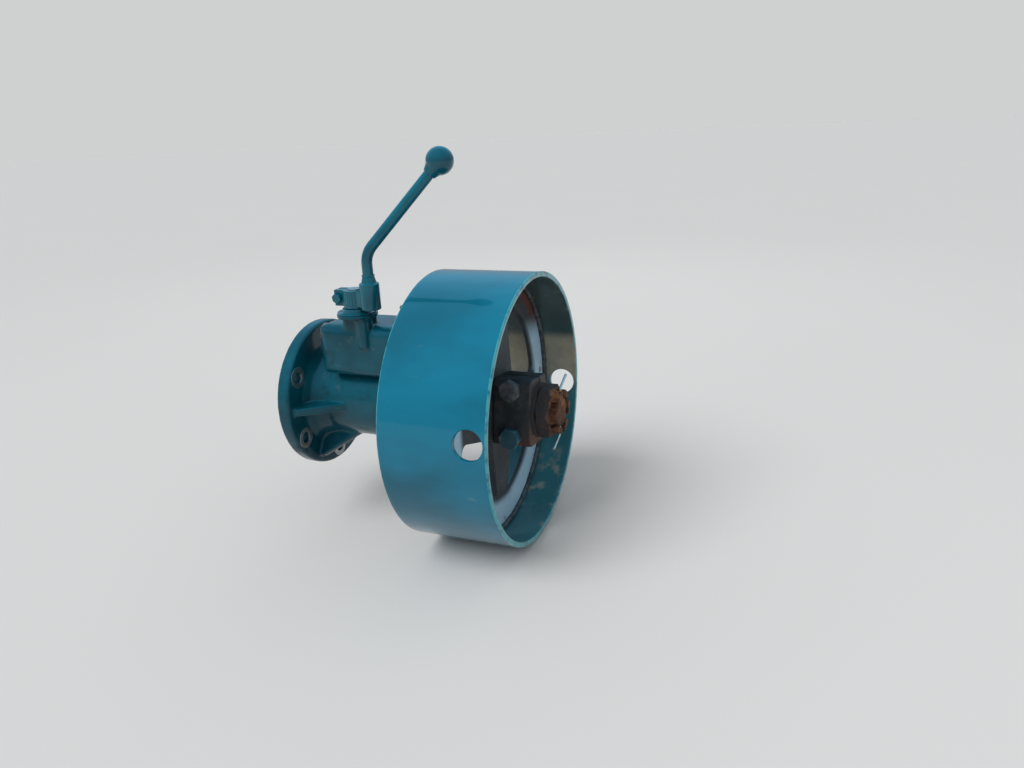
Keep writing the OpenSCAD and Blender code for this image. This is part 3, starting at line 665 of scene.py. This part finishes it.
def revolved(rings, place, loop=False):
    """Points and faces of rings about the local z axis, each a list of (along, radius) at even
    steps of angle, set at place. A loop joins the last ring to the first and has no ends."""
    count = len(rings[0])
    turns = [2 * math.pi * i / count for i in range(count)]
    points = [place @ Vector((r * math.cos(turn), r * math.sin(turn), a))
              for ring in rings for (a, r), turn in zip(ring, turns)]
    loops = [range(j * count, (j + 1) * count) for j in range(len(rings))]
    if loop:
        return points, bands(loops + loops[:1])
    return points, bands(loops) + [tuple(loops[0]), tuple(loops[-1])]


def turned(corners, place, count=96, loop=False):
    """Points and faces of a profile, given as for rounded, turned about the local z axis."""
    return revolved([[spot] * count for spot in rounded(corners)], place, loop)


def joined(*parts):
    """One list of points and faces from several."""
    points, faces = [], []
    for more_points, more_faces in parts:
        shift = len(points)
        points += more_points
        faces += [tuple(i + shift for i in f) for f in more_faces]
    return points, faces


def off_flats(count):
    """The angles between even steps round a hexagon and the middle of each step's flat."""
    sixth = math.pi / 3
    return [(2 * math.pi * i / count + sixth / 2) % sixth - sixth / 2 for i in range(count)]


def hexagon_head(flats, height, place, washer_face=True):
    """A hexagon with its upper corners turned off at 30 degrees and a thin round face under it."""
    count, half, slope = 72, flats / 2, math.tan(math.radians(30))
    crown, under = half * 0.96, 0.6 * mm if washer_face else 0
    outline = [half / math.cos(a) for a in off_flats(count)]
    rings = [[(0.0, half * 0.95)] * count, [(under, half * 0.95)] * count] if washer_face else []
    rings += [[(under, r - 0.25 * mm) for r in outline],
              [(under + 0.25 * mm, r) for r in outline],
              [(height - max(0.0, r - crown) * slope - 0.15 * mm, r) for r in outline],
              [(height - max(0.0, r - 0.3 * mm - crown) * slope, r - 0.3 * mm) for r in outline],
              [(height, crown - 0.5 * mm)] * count]
    return revolved(rings, place)


bolt_finish, shader, noise, x, y, z = new_finish("clamp_bolt_steel")
wear = noise(90.0, 4.0, 0.6)
painted = z.fade(0.004, -0.004) * wear.fade(0.22, 0.36)
tone = wear.fade(0.35, 0.7).mix((0.075, 0.080, 0.085), (0.17, 0.175, 0.18))
tone = (wear.fade(0.62, 0.72) * 0.6).mix(tone, rust_mid)
tone = (painted * 0.9).mix(tone, (0.008, 0.070, 0.100))
wire_up(shader, {"Coat Roughness": 0.15, "Specular IOR Level": 0.5}, Base_Color=tone,
        Roughness=0.40 + wear * 0.15, Metallic=0.55 * (1.0 - painted), Coat_Weight=painted * 0.7,
        Normal=(noise(600.0, 2.0) + wear * 2.0).bump(0.25, 0.0004))
cap_face, bolt_reach, bolt_x, bolt_l = sizes(30, 27, 267.5, 46)
for name, side, turn in (("clamp_bolt_upper", -1, 8), ("clamp_bolt_lower", 1, 23)):
    spot = (drum_spin @ moved(bolt_x, -cap_face, -side * bolt_reach) @ spun(90, "X")
            @ spun(turn, "Z"))
    shank = turned([(-bolt_l, 0, 0), (-bolt_l, 7 * mm, 1.2 * mm), (0.2 * mm, 7 * mm, 0)], spot, 48)
    bolt = shape(name, *joined(hexagon_head(22 * mm, 9 * mm, spot), shank), bolt_finish, crease=25)
    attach(bolt, "pulley")
    if side == -1:
        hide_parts("hub_bolts")


# Shaft end, washer and castle nut. The shaft's threaded end carries a thick washer and a castle nut
# that a split pin locks. They were never painted and have rusted brown and orange.
rust_finish, shader, noise, x, y, z = new_finish("rusted_steel")
scab = noise(150.0, 5.0, 0.65)
bloom = noise(38.0)
tone = scab.fade(0.35, 0.62).mix(rust_deep, rust_mid)
tone = (bloom.fade(0.48, 0.66) * scab.fade(0.40, 0.60) * 0.85).mix(tone, rust_bright)
tone = (scab.fade(0.66, 0.74) * 0.5).mix(tone, (0.42, 0.24, 0.13))
# The washer and the inboard part of the nut's hexagon, beside the hub, are darkened: painted shade.
painted_shade_by_hub = 1.0 - x.fade(0.3065, 0.3115)
tone = (painted_shade_by_hub * (1.0 - scab.fade(0.58, 0.72)) * 0.85).mix(tone, (0.040, 0.040, 0.042))
wire_up(shader, {"Specular IOR Level": 0.4}, Base_Color=tone, Roughness=0.72 + scab * 0.22,
        Metallic=0.15 * (1.0 - scab),
        Normal=(scab * 2.0 + noise(800.0, 2.0)).bump(0.75, 0.0006))


def refinished(finish, *names):
    """Gives another finish to CAD nodes that are shown as they are."""
    for name in names:
        nodes[name].data.materials.clear()
        nodes[name].data.materials.append(finish)


refinished(rust_finish, "output_shaft", "nut_washer")
washer_end, nut_hex, nut_flats, crown_h, crown_r, slot_half, thread_r = sizes(
    294, 16, 55, 9, 25, 3.5, 18)
nut_place = moved(washer_end) @ in_drum
nut_count = 144


def nut_rings():
    """Rings of (along, radius) round the nut, from its bore at the washer out and back in."""
    half = nut_flats / 2
    reach = [half / math.cos(a) for a in off_flats(nut_count)]
    crown_middle = (crown_r + thread_r) / 2
    slotted = [abs(crown_middle * math.sin(a)) < slot_half for a in off_flats(nut_count)]
    low, high = nut_hex + 0.5 * mm, nut_hex + crown_h
    chamfer = [max(0.0, r - half * 0.98) * math.tan(math.radians(30)) for r in reach]
    return [[(0.6 * mm, thread_r + 0.2 * mm)] * nut_count,
            [(0.0, thread_r + 1.0 * mm)] * nut_count,
            [(0.0, half * 0.96)] * nut_count,
            [(c, r - 0.2 * mm) for c, r in zip(chamfer, reach)],
            [(c + 0.3 * mm, r) for c, r in zip(chamfer, reach)],
            [(nut_hex - c - 0.3 * mm, r) for c, r in zip(chamfer, reach)],
            [(nut_hex - c, r - 0.3 * mm) for c, r in zip(chamfer, reach)],
            [(nut_hex, crown_r + 0.8 * mm)] * nut_count,
            [(nut_hex + 0.45 * mm, crown_r)] * nut_count,
            [(low if s else high - 1.0 * mm, crown_r) for s in slotted],
            [(low if s else high, crown_r - 1.0 * mm) for s in slotted],
            [(low if s else high, thread_r + 0.8 * mm) for s in slotted],
            [(low if s else high - 0.8 * mm, thread_r) for s in slotted],
            [(0.8 * mm, thread_r)] * nut_count]


nut = shape("castle_nut_rusted", *revolved(nut_rings(), nut_place, loop=True), rust_finish,
            crease=28)
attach(nut, "pulley")
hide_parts("castle_nut")


# Split pin. Half-round wire folded in two, pushed through the castle nut's slots and the shaft,
# with its ends bent out so far that they stand away from the nut. It is the one bright piece.
pin_at, pin_wire, pin_through, pin_tail, pin_bend = sizes(314.5, 1.45, 26.5, 24, 2.6)
pin_lean = math.radians(62)
pin_finish, shader, noise, x, y, z = new_finish("bright_pin_wire")
dull = noise(160.0, 4.0)
wire_up(shader, {}, Base_Color=dull.mix((0.72, 0.71, 0.68), (0.45, 0.40, 0.34)),
        Roughness=0.28 + dull * 0.25, Metallic=1.0 - dull * 0.1,
        Normal=dull.bump(0.2, 0.0003))


def bent_wire(name, path, radius, place, finish, sides=5):
    """A round wire along a path of local points."""
    curve = bpy.data.curves.new(name, "CURVE")
    curve.dimensions = "3D"
    add_line(curve, path, closed=False)
    curve.bevel_depth, curve.bevel_resolution, curve.use_fill_caps = radius, sides, True
    mesh = mesh_of(curve, place)
    mesh.shade_smooth()
    mesh.set_sharp_from_angle(angle=math.radians(40))
    mesh.materials.clear()
    mesh.materials.append(finish)
    return as_piece(name, mesh)


def bend_path(start, corner, end, radius, steps=10):
    """A path from start to end whose corner is an arc of the given radius."""
    return [start, *corner_arc(start, corner, end, radius, steps, Vector.slerp), end]


pin_place = moved(pin_at) @ in_drum
for name, side in (("split_pin_upper", -1), ("split_pin_lower", 1)):
    corner = Vector((side * pin_through, 0, 0))
    tail = corner + side * Vector((math.cos(pin_lean), -math.sin(pin_lean), 0)) * pin_tail
    path = bend_path(Vector((0, 0, 0)), corner, tail, pin_bend)
    pin = bent_wire(name, path, pin_wire, pin_place, pin_finish)
    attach(pin, "pulley")
    if side == -1:
        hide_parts("split_pin")


# Housing. One iron casting carries the shaft, the selector chest and the lever's turret, with four
# ribs behind its flange. Its corners and fillets are those of a sand mould, and it is painted teal
# over the casting's grain, with patches of grease and dust.
casting_teal, casting_deep = (0.0008, 0.078, 0.112), (0.0006, 0.046, 0.068)
grime = (0.010, 0.020, 0.022)


def painted_casting(name, grain_scale, grain_depth, dirt):
    """Satin teal paint over cast iron, with the casting's grain under it and some dirt."""
    finish, shader, noise, x, y, z = new_finish(name)
    broad = noise(14.0)
    grain = noise(grain_scale, 4.0, 0.6)
    tone = broad.fade(0.35, 0.65).mix(casting_deep, casting_teal)
    soil = noise(30.0, 5.0, 0.65)
    soiled = soil.fade(0.56, 0.76) * dirt
    tone = soiled.mix(tone, grime)
    dusty = noise(65.0, 4.0, 0.6, (1.0, 1.0, 2.0)).fade(0.60, 0.75) * dirt
    tone = (dusty * 0.10).mix(tone, dust)
    chips = noise(95.0, 5.0, 0.7).fade(0.70, 0.745)
    tone = (chips * 0.8).mix(tone, (0.05, 0.035, 0.03))
    wire_up(shader, {"Coat Roughness": 0.10, "Coat IOR": 1.36, "Specular IOR Level": 0.1},
            Base_Color=tone, Roughness=0.36 + soiled * 0.35 + broad * 0.1,
            Coat_Weight=0.80 - 0.6 * soiled,
            Normal=(grain + broad * 1.5).bump(grain_depth, 0.0006))
    return finish


housing_paint = painted_casting("housing_paint", 230.0, 0.42, 0.75)
housing = cast(copied("housing_casting", "drive_housing"), 1.5 * mm, 4, housing_paint, keep=0.55)
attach(housing, "housing")
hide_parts("drive_housing")


# Machined faces of the housing. The flange's back and its register were turned in one setting and
# left bare, and each mounting hole has a spot face for its nut.
steel_tone, steel_dark = (0.50, 0.50, 0.49), (0.30, 0.29, 0.28)
spindle_x, spindle_y = sizes(93, -44)


def machined(name, along, ring_scale, tarnish):
    """Bare turned steel: fine rings about an axis, with a little tarnish and oil."""
    finish, shader, noise, x, y, z = new_finish(name)
    across = {"X": (y, z), "Z": (x - spindle_x, y - spindle_y)}[along]
    rings = off_axis(*across).grooves(ring_scale)
    film = noise(32.0, 4.0, 0.6)
    tone = film.fade(0.38, 0.66).mix(steel_tone, steel_dark)
    tone = (noise(70.0, 5.0, 0.7).fade(0.62, 0.72) * tarnish).mix(tone, rust_mid)
    wire_up(shader, {}, Base_Color=tone, Roughness=0.26 + film * 0.22, Metallic=1.0 - film * 0.15,
            Normal=(rings + film * 0.5).bump(0.22, 0.0003))
    return finish


turned_steel = machined("turned_steel", "X", 2600.0, 0.5)
register_r, register_l, bore_r, flange_t, bolt_circle = sizes(55, 10, 21, 16, 75)
proud = 0.25 * mm
register = turned([(-register_l - proud, bore_r, 0.5 * mm),
                   (-register_l - proud, register_r + proud, 1.5 * mm),
                   (-0.6 * mm, register_r + proud, 0.4 * mm), (-0.6 * mm, register_r - 6 * mm, 0),
                   (-1.6 * mm, register_r - 6 * mm, 0), (-1.6 * mm, bore_r, 0)],
                  to_shaft, 128, loop=True)
register_face = shape("register_turned", *register, turned_steel)
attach(register_face, "housing")

ring_tree, pattern_in, count_in, circle_in, turn_in, finish_in = new_tree(
    "ring_of_pieces", pattern="Object", count="Int", circle_radius="Float", first_angle="Float",
    finish="Material")
spots = count_in.node("GeometryNodeMeshCircle", {}, {"Vertices": count_in, "Radius": circle_in})
facing = spots.node("FunctionNodeAlignRotationToVector", {"axis": "X"},
                    {"Vector": spots.node("GeometryNodeInputPosition")})
source = spots.node("GeometryNodeObjectInfo", {}, {"Object": pattern_in}, out="Geometry")
placed = spots.node("GeometryNodeInstanceOnPoints", {},
                    {"Points": spots, "Instance": source, "Rotation": facing})
first_turn = spots.node("ShaderNodeCombineXYZ", {}, {"Z": turn_in})
swung = spots.node("GeometryNodeTransform", {}, {"Geometry": placed, "Rotation": first_turn})
close_tree(swung, finish_in)


def ring_of(name, pattern, count, radius, first_angle, place, finish, crease=30):
    """Copies of a pattern, drawn in local z, at even steps round a circle about that axis."""
    source = shape(name + "_pattern", *pattern, finish)
    piece = made_by(ring_tree, name, place, pattern=source, count=count, circle_radius=radius,
                    first_angle=math.radians(first_angle), finish=finish)
    bpy.data.objects.remove(source)
    piece.data.set_sharp_from_angle(angle=math.radians(crease))
    return piece


seat = turned([(flange_t + 0.3 * mm, 6.75 * mm, 0.4 * mm),
               (flange_t + 0.3 * mm, 12.5 * mm, 0.3 * mm),
               (flange_t - 1.2 * mm, 12.5 * mm, 0), (flange_t - 1.2 * mm, 8.2 * mm, 0),
               (1.2 * mm, 8.2 * mm, 0), (1.2 * mm, 9.0 * mm, 0), (-proud, 9.0 * mm, 0),
               (-proud, 6.75 * mm, 0.6 * mm)], Matrix.Identity(4), 40, loop=True)
seats = ring_of("mounting_spot_faces", seat, 6, bolt_circle, 0, to_shaft, turned_steel)
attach(seats, "housing")


# Bearing cover. A thin turned cap holds the outer bearing and its shaft seal, with four M8 bolts
# and a raised lip round the seal. It is painted over with the housing, bolts and all.
small_paint = painted_casting("cover_paint", 420.0, 0.22, 0.7)
housing_end, cover_end, cover_r, seal_r, cover_circle = sizes(182, 190, 54, 28.5, 44)
cover_face = cover_end - 1.5 * mm
cover = turned([(housing_end, seal_r, 0), (cover_end, seal_r, 0.6 * mm),
                (cover_end, seal_r + 4 * mm, 1.0 * mm), (cover_face, seal_r + 6 * mm, 0.8 * mm),
                (cover_face, cover_r - 2 * mm, 1.6 * mm), (cover_end - 4 * mm, cover_r, 1.2 * mm),
                (housing_end, cover_r, 0)], to_shaft, 128, loop=True)
cover_piece = shape("bearing_cover_turned", *cover, small_paint)
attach(cover_piece, "housing")
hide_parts("bearing_cover")

bolt_paint = painted_casting("cover_bolt_paint", 600.0, 0.15, 0.5)
head = joined(hexagon_head(13 * mm, 5.5 * mm, moved(0, 0, cover_face)),
              turned([(housing_end - 8 * mm, 4 * mm, 0), (cover_end - 1 * mm, 4 * mm, 0)],
                     Matrix.Identity(4), 24))
heads = ring_of("cover_bolt_heads", head, 4, cover_circle, 45, to_shaft, bolt_paint, crease=25)
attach(heads, "housing")
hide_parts("cover_bolts")

seal_finish, shader, noise, x, y, z = new_finish("seal_rubber")
lips = off_axis(y, z).grooves(1500.0, 1.0)
oil = noise(60.0)
wire_up(shader, {}, Base_Color=oil.mix((0.012, 0.012, 0.012), (0.035, 0.032, 0.028)),
        Roughness=0.42 + oil * 0.3, Normal=(lips + oil).bump(0.3, 0.0004))
refinished(seal_finish, "shaft_seal")


# Oil plugs. The filler plug stands on the selector chest and the drain plug under the barrel. Each
# is a hexagon plug with a soft copper washer under it.
plug_steel, shader, noise, x, y, z = new_finish("plug_steel")
film = noise(120.0, 4.0, 0.6)
tone = film.fade(0.4, 0.7).mix((0.30, 0.30, 0.29), (0.10, 0.095, 0.09))
tone = (film.fade(0.60, 0.70) * 0.6).mix(tone, casting_teal)
wire_up(shader, {}, Base_Color=tone, Roughness=0.35 + film * 0.25, Metallic=0.9 - film * 0.3,
        Normal=film.bump(0.25, 0.0004))
copper, shader, noise, x, y, z = new_finish("copper_washer")
film = noise(90.0)
wire_up(shader, {}, Base_Color=film.mix((0.55, 0.27, 0.16), (0.20, 0.11, 0.07)),
        Roughness=0.35 + film * 0.3, Metallic=0.95 - film * 0.2, Normal=film.bump(0.2, 0.0003))
for name, node, spot in (("filler", "filler_plug", moved(135 * mm, 0, 104 * mm)),
                         ("drain", "drain_plug", moved(93 * mm, 0, -53 * mm) @ spun(180, "X"))):
    ring = turned([(0, 9.2 * mm, 0.5 * mm), (0, 13.2 * mm, 0.6 * mm),
                   (1.5 * mm, 13.2 * mm, 0.6 * mm), (1.5 * mm, 9.2 * mm, 0.5 * mm)],
                  spot, 64, loop=True)
    washer = shape(name + "_copper_washer", *ring, copper)
    body = turned([(-8 * mm, 0, 0), (-8 * mm, 9 * mm, 1.0 * mm), (1.2 * mm, 9 * mm, 0),
                   (1.2 * mm, 13 * mm, 0.4 * mm), (3.0 * mm, 13 * mm, 0.7 * mm),
                   (3.4 * mm, 9 * mm, 0)], spot, 64)
    top = hexagon_head(19 * mm, 7.5 * mm, spot @ moved(0, 0, 3.0 * mm), washer_face=False)
    plug = shape(name + "_plug_hexagon", *joined(body, top), plug_steel, crease=25)
    for piece in (washer, plug):
        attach(piece, "housing")
    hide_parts(node)


# Turret. The selector spindle comes up through a round pad on the chest, under a thin round plate
# that holds its seal. Both are painted gloss teal like the lever.
lever_teal, lever_deep = (0.0008, 0.098, 0.140), (0.0006, 0.064, 0.096)


def lever_paint(name, chip_scale):
    """Gloss teal on small forged and turned pieces, rubbed thin where hands touch it."""
    finish, shader, noise, x, y, z = new_finish(name)
    broad = noise(24.0)
    tone = broad.fade(0.35, 0.65).mix(lever_deep, lever_teal)
    rub = noise(chip_scale, 5.0, 0.7)
    tone = (rub.fade(0.66, 0.72) * 0.8).mix(tone, (0.045, 0.045, 0.045))
    dusty = noise(50.0, 4.0, 0.6).fade(0.60, 0.78)
    tone = (dusty * 0.12).mix(tone, dust)
    peel = noise(420.0, 2.0) + noise(80.0, 2.0) * 2.0
    wire_up(shader, {"Coat Roughness": 0.06, "Coat IOR": 1.42, "Specular IOR Level": 0.1},
            Base_Color=tone, Roughness=0.32 + dusty * 0.3 + broad * 0.08,
            Coat_Weight=0.95 - 0.8 * dusty.either(rub.fade(0.66, 0.72)),
            Normal=peel.bump(0.14, 0.0004))
    return finish


turret_paint = lever_paint("turret_paint", 110.0)
spindle_axis = moved(spindle_x, spindle_y)
pad_top, plate_top, collar_top = sizes(115, 116.5, 120.5)
plate_r, collar_r, seal_bore = sizes(22, 16, 8.3)
plate = turned([(pad_top, seal_bore, 0), (pad_top, plate_r, 0.2 * mm),
                (plate_top, plate_r, 0.5 * mm), (plate_top, collar_r, 0.8 * mm),
                (collar_top, collar_r, 0.8 * mm), (collar_top, seal_bore, 0.3 * mm)],
               spindle_axis, loop=True)
turret = shape("turret_plate_turned", *plate, turret_paint)
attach(turret, "housing")
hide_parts("turret_plate")


# Lever's eye. A small forged eye with a fluted outside grips the spindle, with a slit and a pinch
# bolt on one side and the boss for the rod on the other.
eye_finish = lever_paint("lever_eye_paint", 95.0)
eye = cast(copied("lever_eye_forged", "lever_eye"), 0.45 * mm, 2, eye_finish, keep=0.6)
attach(eye, "lever")
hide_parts("lever_eye")

spindle_steel = machined("spindle_steel", "Z", 3500.0, 0.4)
refinished(spindle_steel, "selector_spindle")

low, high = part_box("eye_bolt")
eye_side_y, pinch_turn = -52 * mm, 12
spot = (moved((low.x + high.x) / 2, eye_side_y, (low.z + high.z) / 2) @ spun(90, "X")
        @ spun(pinch_turn, "Z"))
shank = turned([(-16 * mm, 0, 0), (-16 * mm, 3 * mm, 0.5 * mm), (0.2 * mm, 3 * mm, 0)], spot, 24)
pinch = shape("pinch_bolt", *joined(hexagon_head(10 * mm, 4 * mm, spot), shank), eye_finish,
              crease=25)
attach(pinch, "lever")
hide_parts("eye_bolt")


# Lever's rod and ball. A 12 mm round rod is set in the eye's boss with a small weld round its foot,
# is bent outboard and rearward, and ends in a 30 mm steel ball on a short tapered neck.
rod_finish = lever_paint("lever_rod_paint", 80.0)
rod_r, rod_off, foot_z, bend_z, upper_l, rod_curve, ball_r = sizes(6, 26, 127, 182, 126, 28, 15)
foot_turn, rod_lean, rod_bend = -20, 27, 43
rod_place = (spindle_axis @ spun(foot_turn, "Z") @ moved(rod_off)
             @ spun(rod_lean - foot_turn, "Z"))
corner = Vector((0, 0, bend_z))
along = spun(rod_bend, "Y") @ Vector((0, 0, 1))
rod_end = corner + along * (upper_l - ball_r / 2)
path = bend_path(Vector((0, 0, foot_z)), corner, rod_end, rod_curve, 20)
rod = bent_wire("lever_rod_bent", path, rod_r, rod_place, rod_finish, sides=14)
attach(rod, "lever")
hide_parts("lever_rod")

ball_place = rod_place @ moved(*(corner + along * upper_l)) @ spun(rod_bend, "Y")
neck_r, ball_start, ball_steps = 9.4 * mm, 41, 40
neck = -math.sqrt(ball_r ** 2 - neck_r ** 2)
profile = [(-ball_r - 3 * mm, 0, 0), (-ball_r - 3 * mm, 7.2 * mm, 0.6 * mm),
           (neck - 1.2 * mm, 9.0 * mm, 0)]
profile += [(-ball_r * math.cos(a), ball_r * math.sin(a), 0)
            for a in (math.radians(ball_start + (180 - ball_start) * i / ball_steps)
                      for i in range(ball_steps))]
ball = shape("lever_ball", *turned(profile + [(ball_r, 0.02 * mm, 0)], ball_place, 72), rod_finish,
             crease=50)
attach(ball, "lever")
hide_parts("ball_knob")

eye_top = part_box("lever_eye")[1].z
weld = made_by(bead_tree, "rod_foot_weld", rod_place @ moved(0, 0, eye_top + 0.2 * mm),
               ring_radius=rod_r + 0.2 * mm, bead_radius=1.0 * mm, ripples=20, seed=5,
               finish=rod_finish)
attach(weld, "lever")


# Input gear. On the gearbox side a bevel gear of 17 teeth drives the unit. It is cut from a
# forging, ground on its flanks and oiled, has a collar behind it, and sits on its own shaft, where
# a plain hexagon nut holds it. All its teeth run to one point on the shaft's axis.
gear_steel, shader, noise, x, y, z = new_finish("oiled_gear_steel")
film = noise(45.0, 4.0, 0.6)
rings = off_axis(y, z).grooves(2200.0)
tone = film.fade(0.35, 0.7).mix((0.40, 0.39, 0.37), (0.17, 0.15, 0.12))
wire_up(shader, {"Coat Roughness": 0.12}, Base_Color=tone, Roughness=0.25 + film * 0.2,
        Metallic=1.0 - film * 0.1, Coat_Weight=film.fade(0.45, 0.65) * 0.5,
        Normal=(rings + film).bump(0.2, 0.0003))
refinished(gear_steel, "input_shaft", "spacer_ring")

steps_per_tooth, rows_along, root_share, tip_share, end_bevel = 24, 36, 11 / 12, 3 / 12, 0.008
gear_tree, teeth_in, tip_in, root_in, cone_in, length_in, finish_in = new_tree(
    "bevel_gear_teeth", teeth="Int", tip_radius="Float", root_radius="Float", cone_height="Float",
    length="Float", finish="Material")
blank = teeth_in.node("GeometryNodeMeshCylinder", {"fill_type": "NGON"},
                      {"Vertices": teeth_in * steps_per_tooth, "Side Segments": rows_along,
                       "Radius": 1.0, "Depth": 1.0})
place = blank.node("GeometryNodeInputPosition")
x, y, z = (blank.node("ShaderNodeSeparateXYZ", {}, {0: place}, out=i) for i in range(3))
pitches = blank.math("ARCTAN2", y, x) * teeth_in / (2 * math.pi)
off_tooth = abs(blank.math("FRACT", pitches) * 2.0 - 1.0)
height = off_tooth.node("ShaderNodeMapRange", {},
                        {0: off_tooth, 1: root_share, 2: tip_share, 3: 0.0, 4: 1.0})
along = (z + 0.5) * length_in
at_end = blank.math("GREATER_THAN", abs(z), 0.499)
radius = ((height * (tip_in - root_in) + root_in) * (1.0 - along / cone_in)
          * (1.0 - at_end * end_bevel))
spot = blank.node("ShaderNodeCombineXYZ", {}, {0: x * radius, 1: y * radius, 2: along})
cut = blank.node("GeometryNodeSetPosition", {}, {"Geometry": blank, "Position": spot})
close_tree(cut, finish_in)

gear_x = -15 * mm
to_gearbox = moved(gear_x) @ spun(-90, "Y")
gear = made_by(gear_tree, "bevel_gear_cut", to_gearbox, teeth=17, tip_radius=54.36 * mm,
               root_radius=37.65 * mm, cone_height=46 * mm, length=16.97 * mm, finish=gear_steel)
gear.data.set_sharp_from_angle(angle=math.radians(24))
collar = turned([(-4.5 * mm, 17.1 * mm, 0), (-4.5 * mm, 31 * mm, 0.8 * mm),
                 (0.3 * mm, 31 * mm, 0), (0.3 * mm, 17.1 * mm, 0)], to_gearbox, loop=True)
gear_collar = shape("bevel_gear_collar", *collar, gear_steel)
for piece in (gear, gear_collar):
    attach(piece, "input")
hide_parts("bevel_gear")
low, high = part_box("gear_nut")
head = hexagon_head(46 * mm, 12 * mm, moved(high.x) @ spun(-90, "Y"), washer_face=False)
gear_nut = shape("gear_nut_hexagon", *head, gear_steel, crease=25)
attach(gear_nut, "input")
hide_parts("gear_nut")
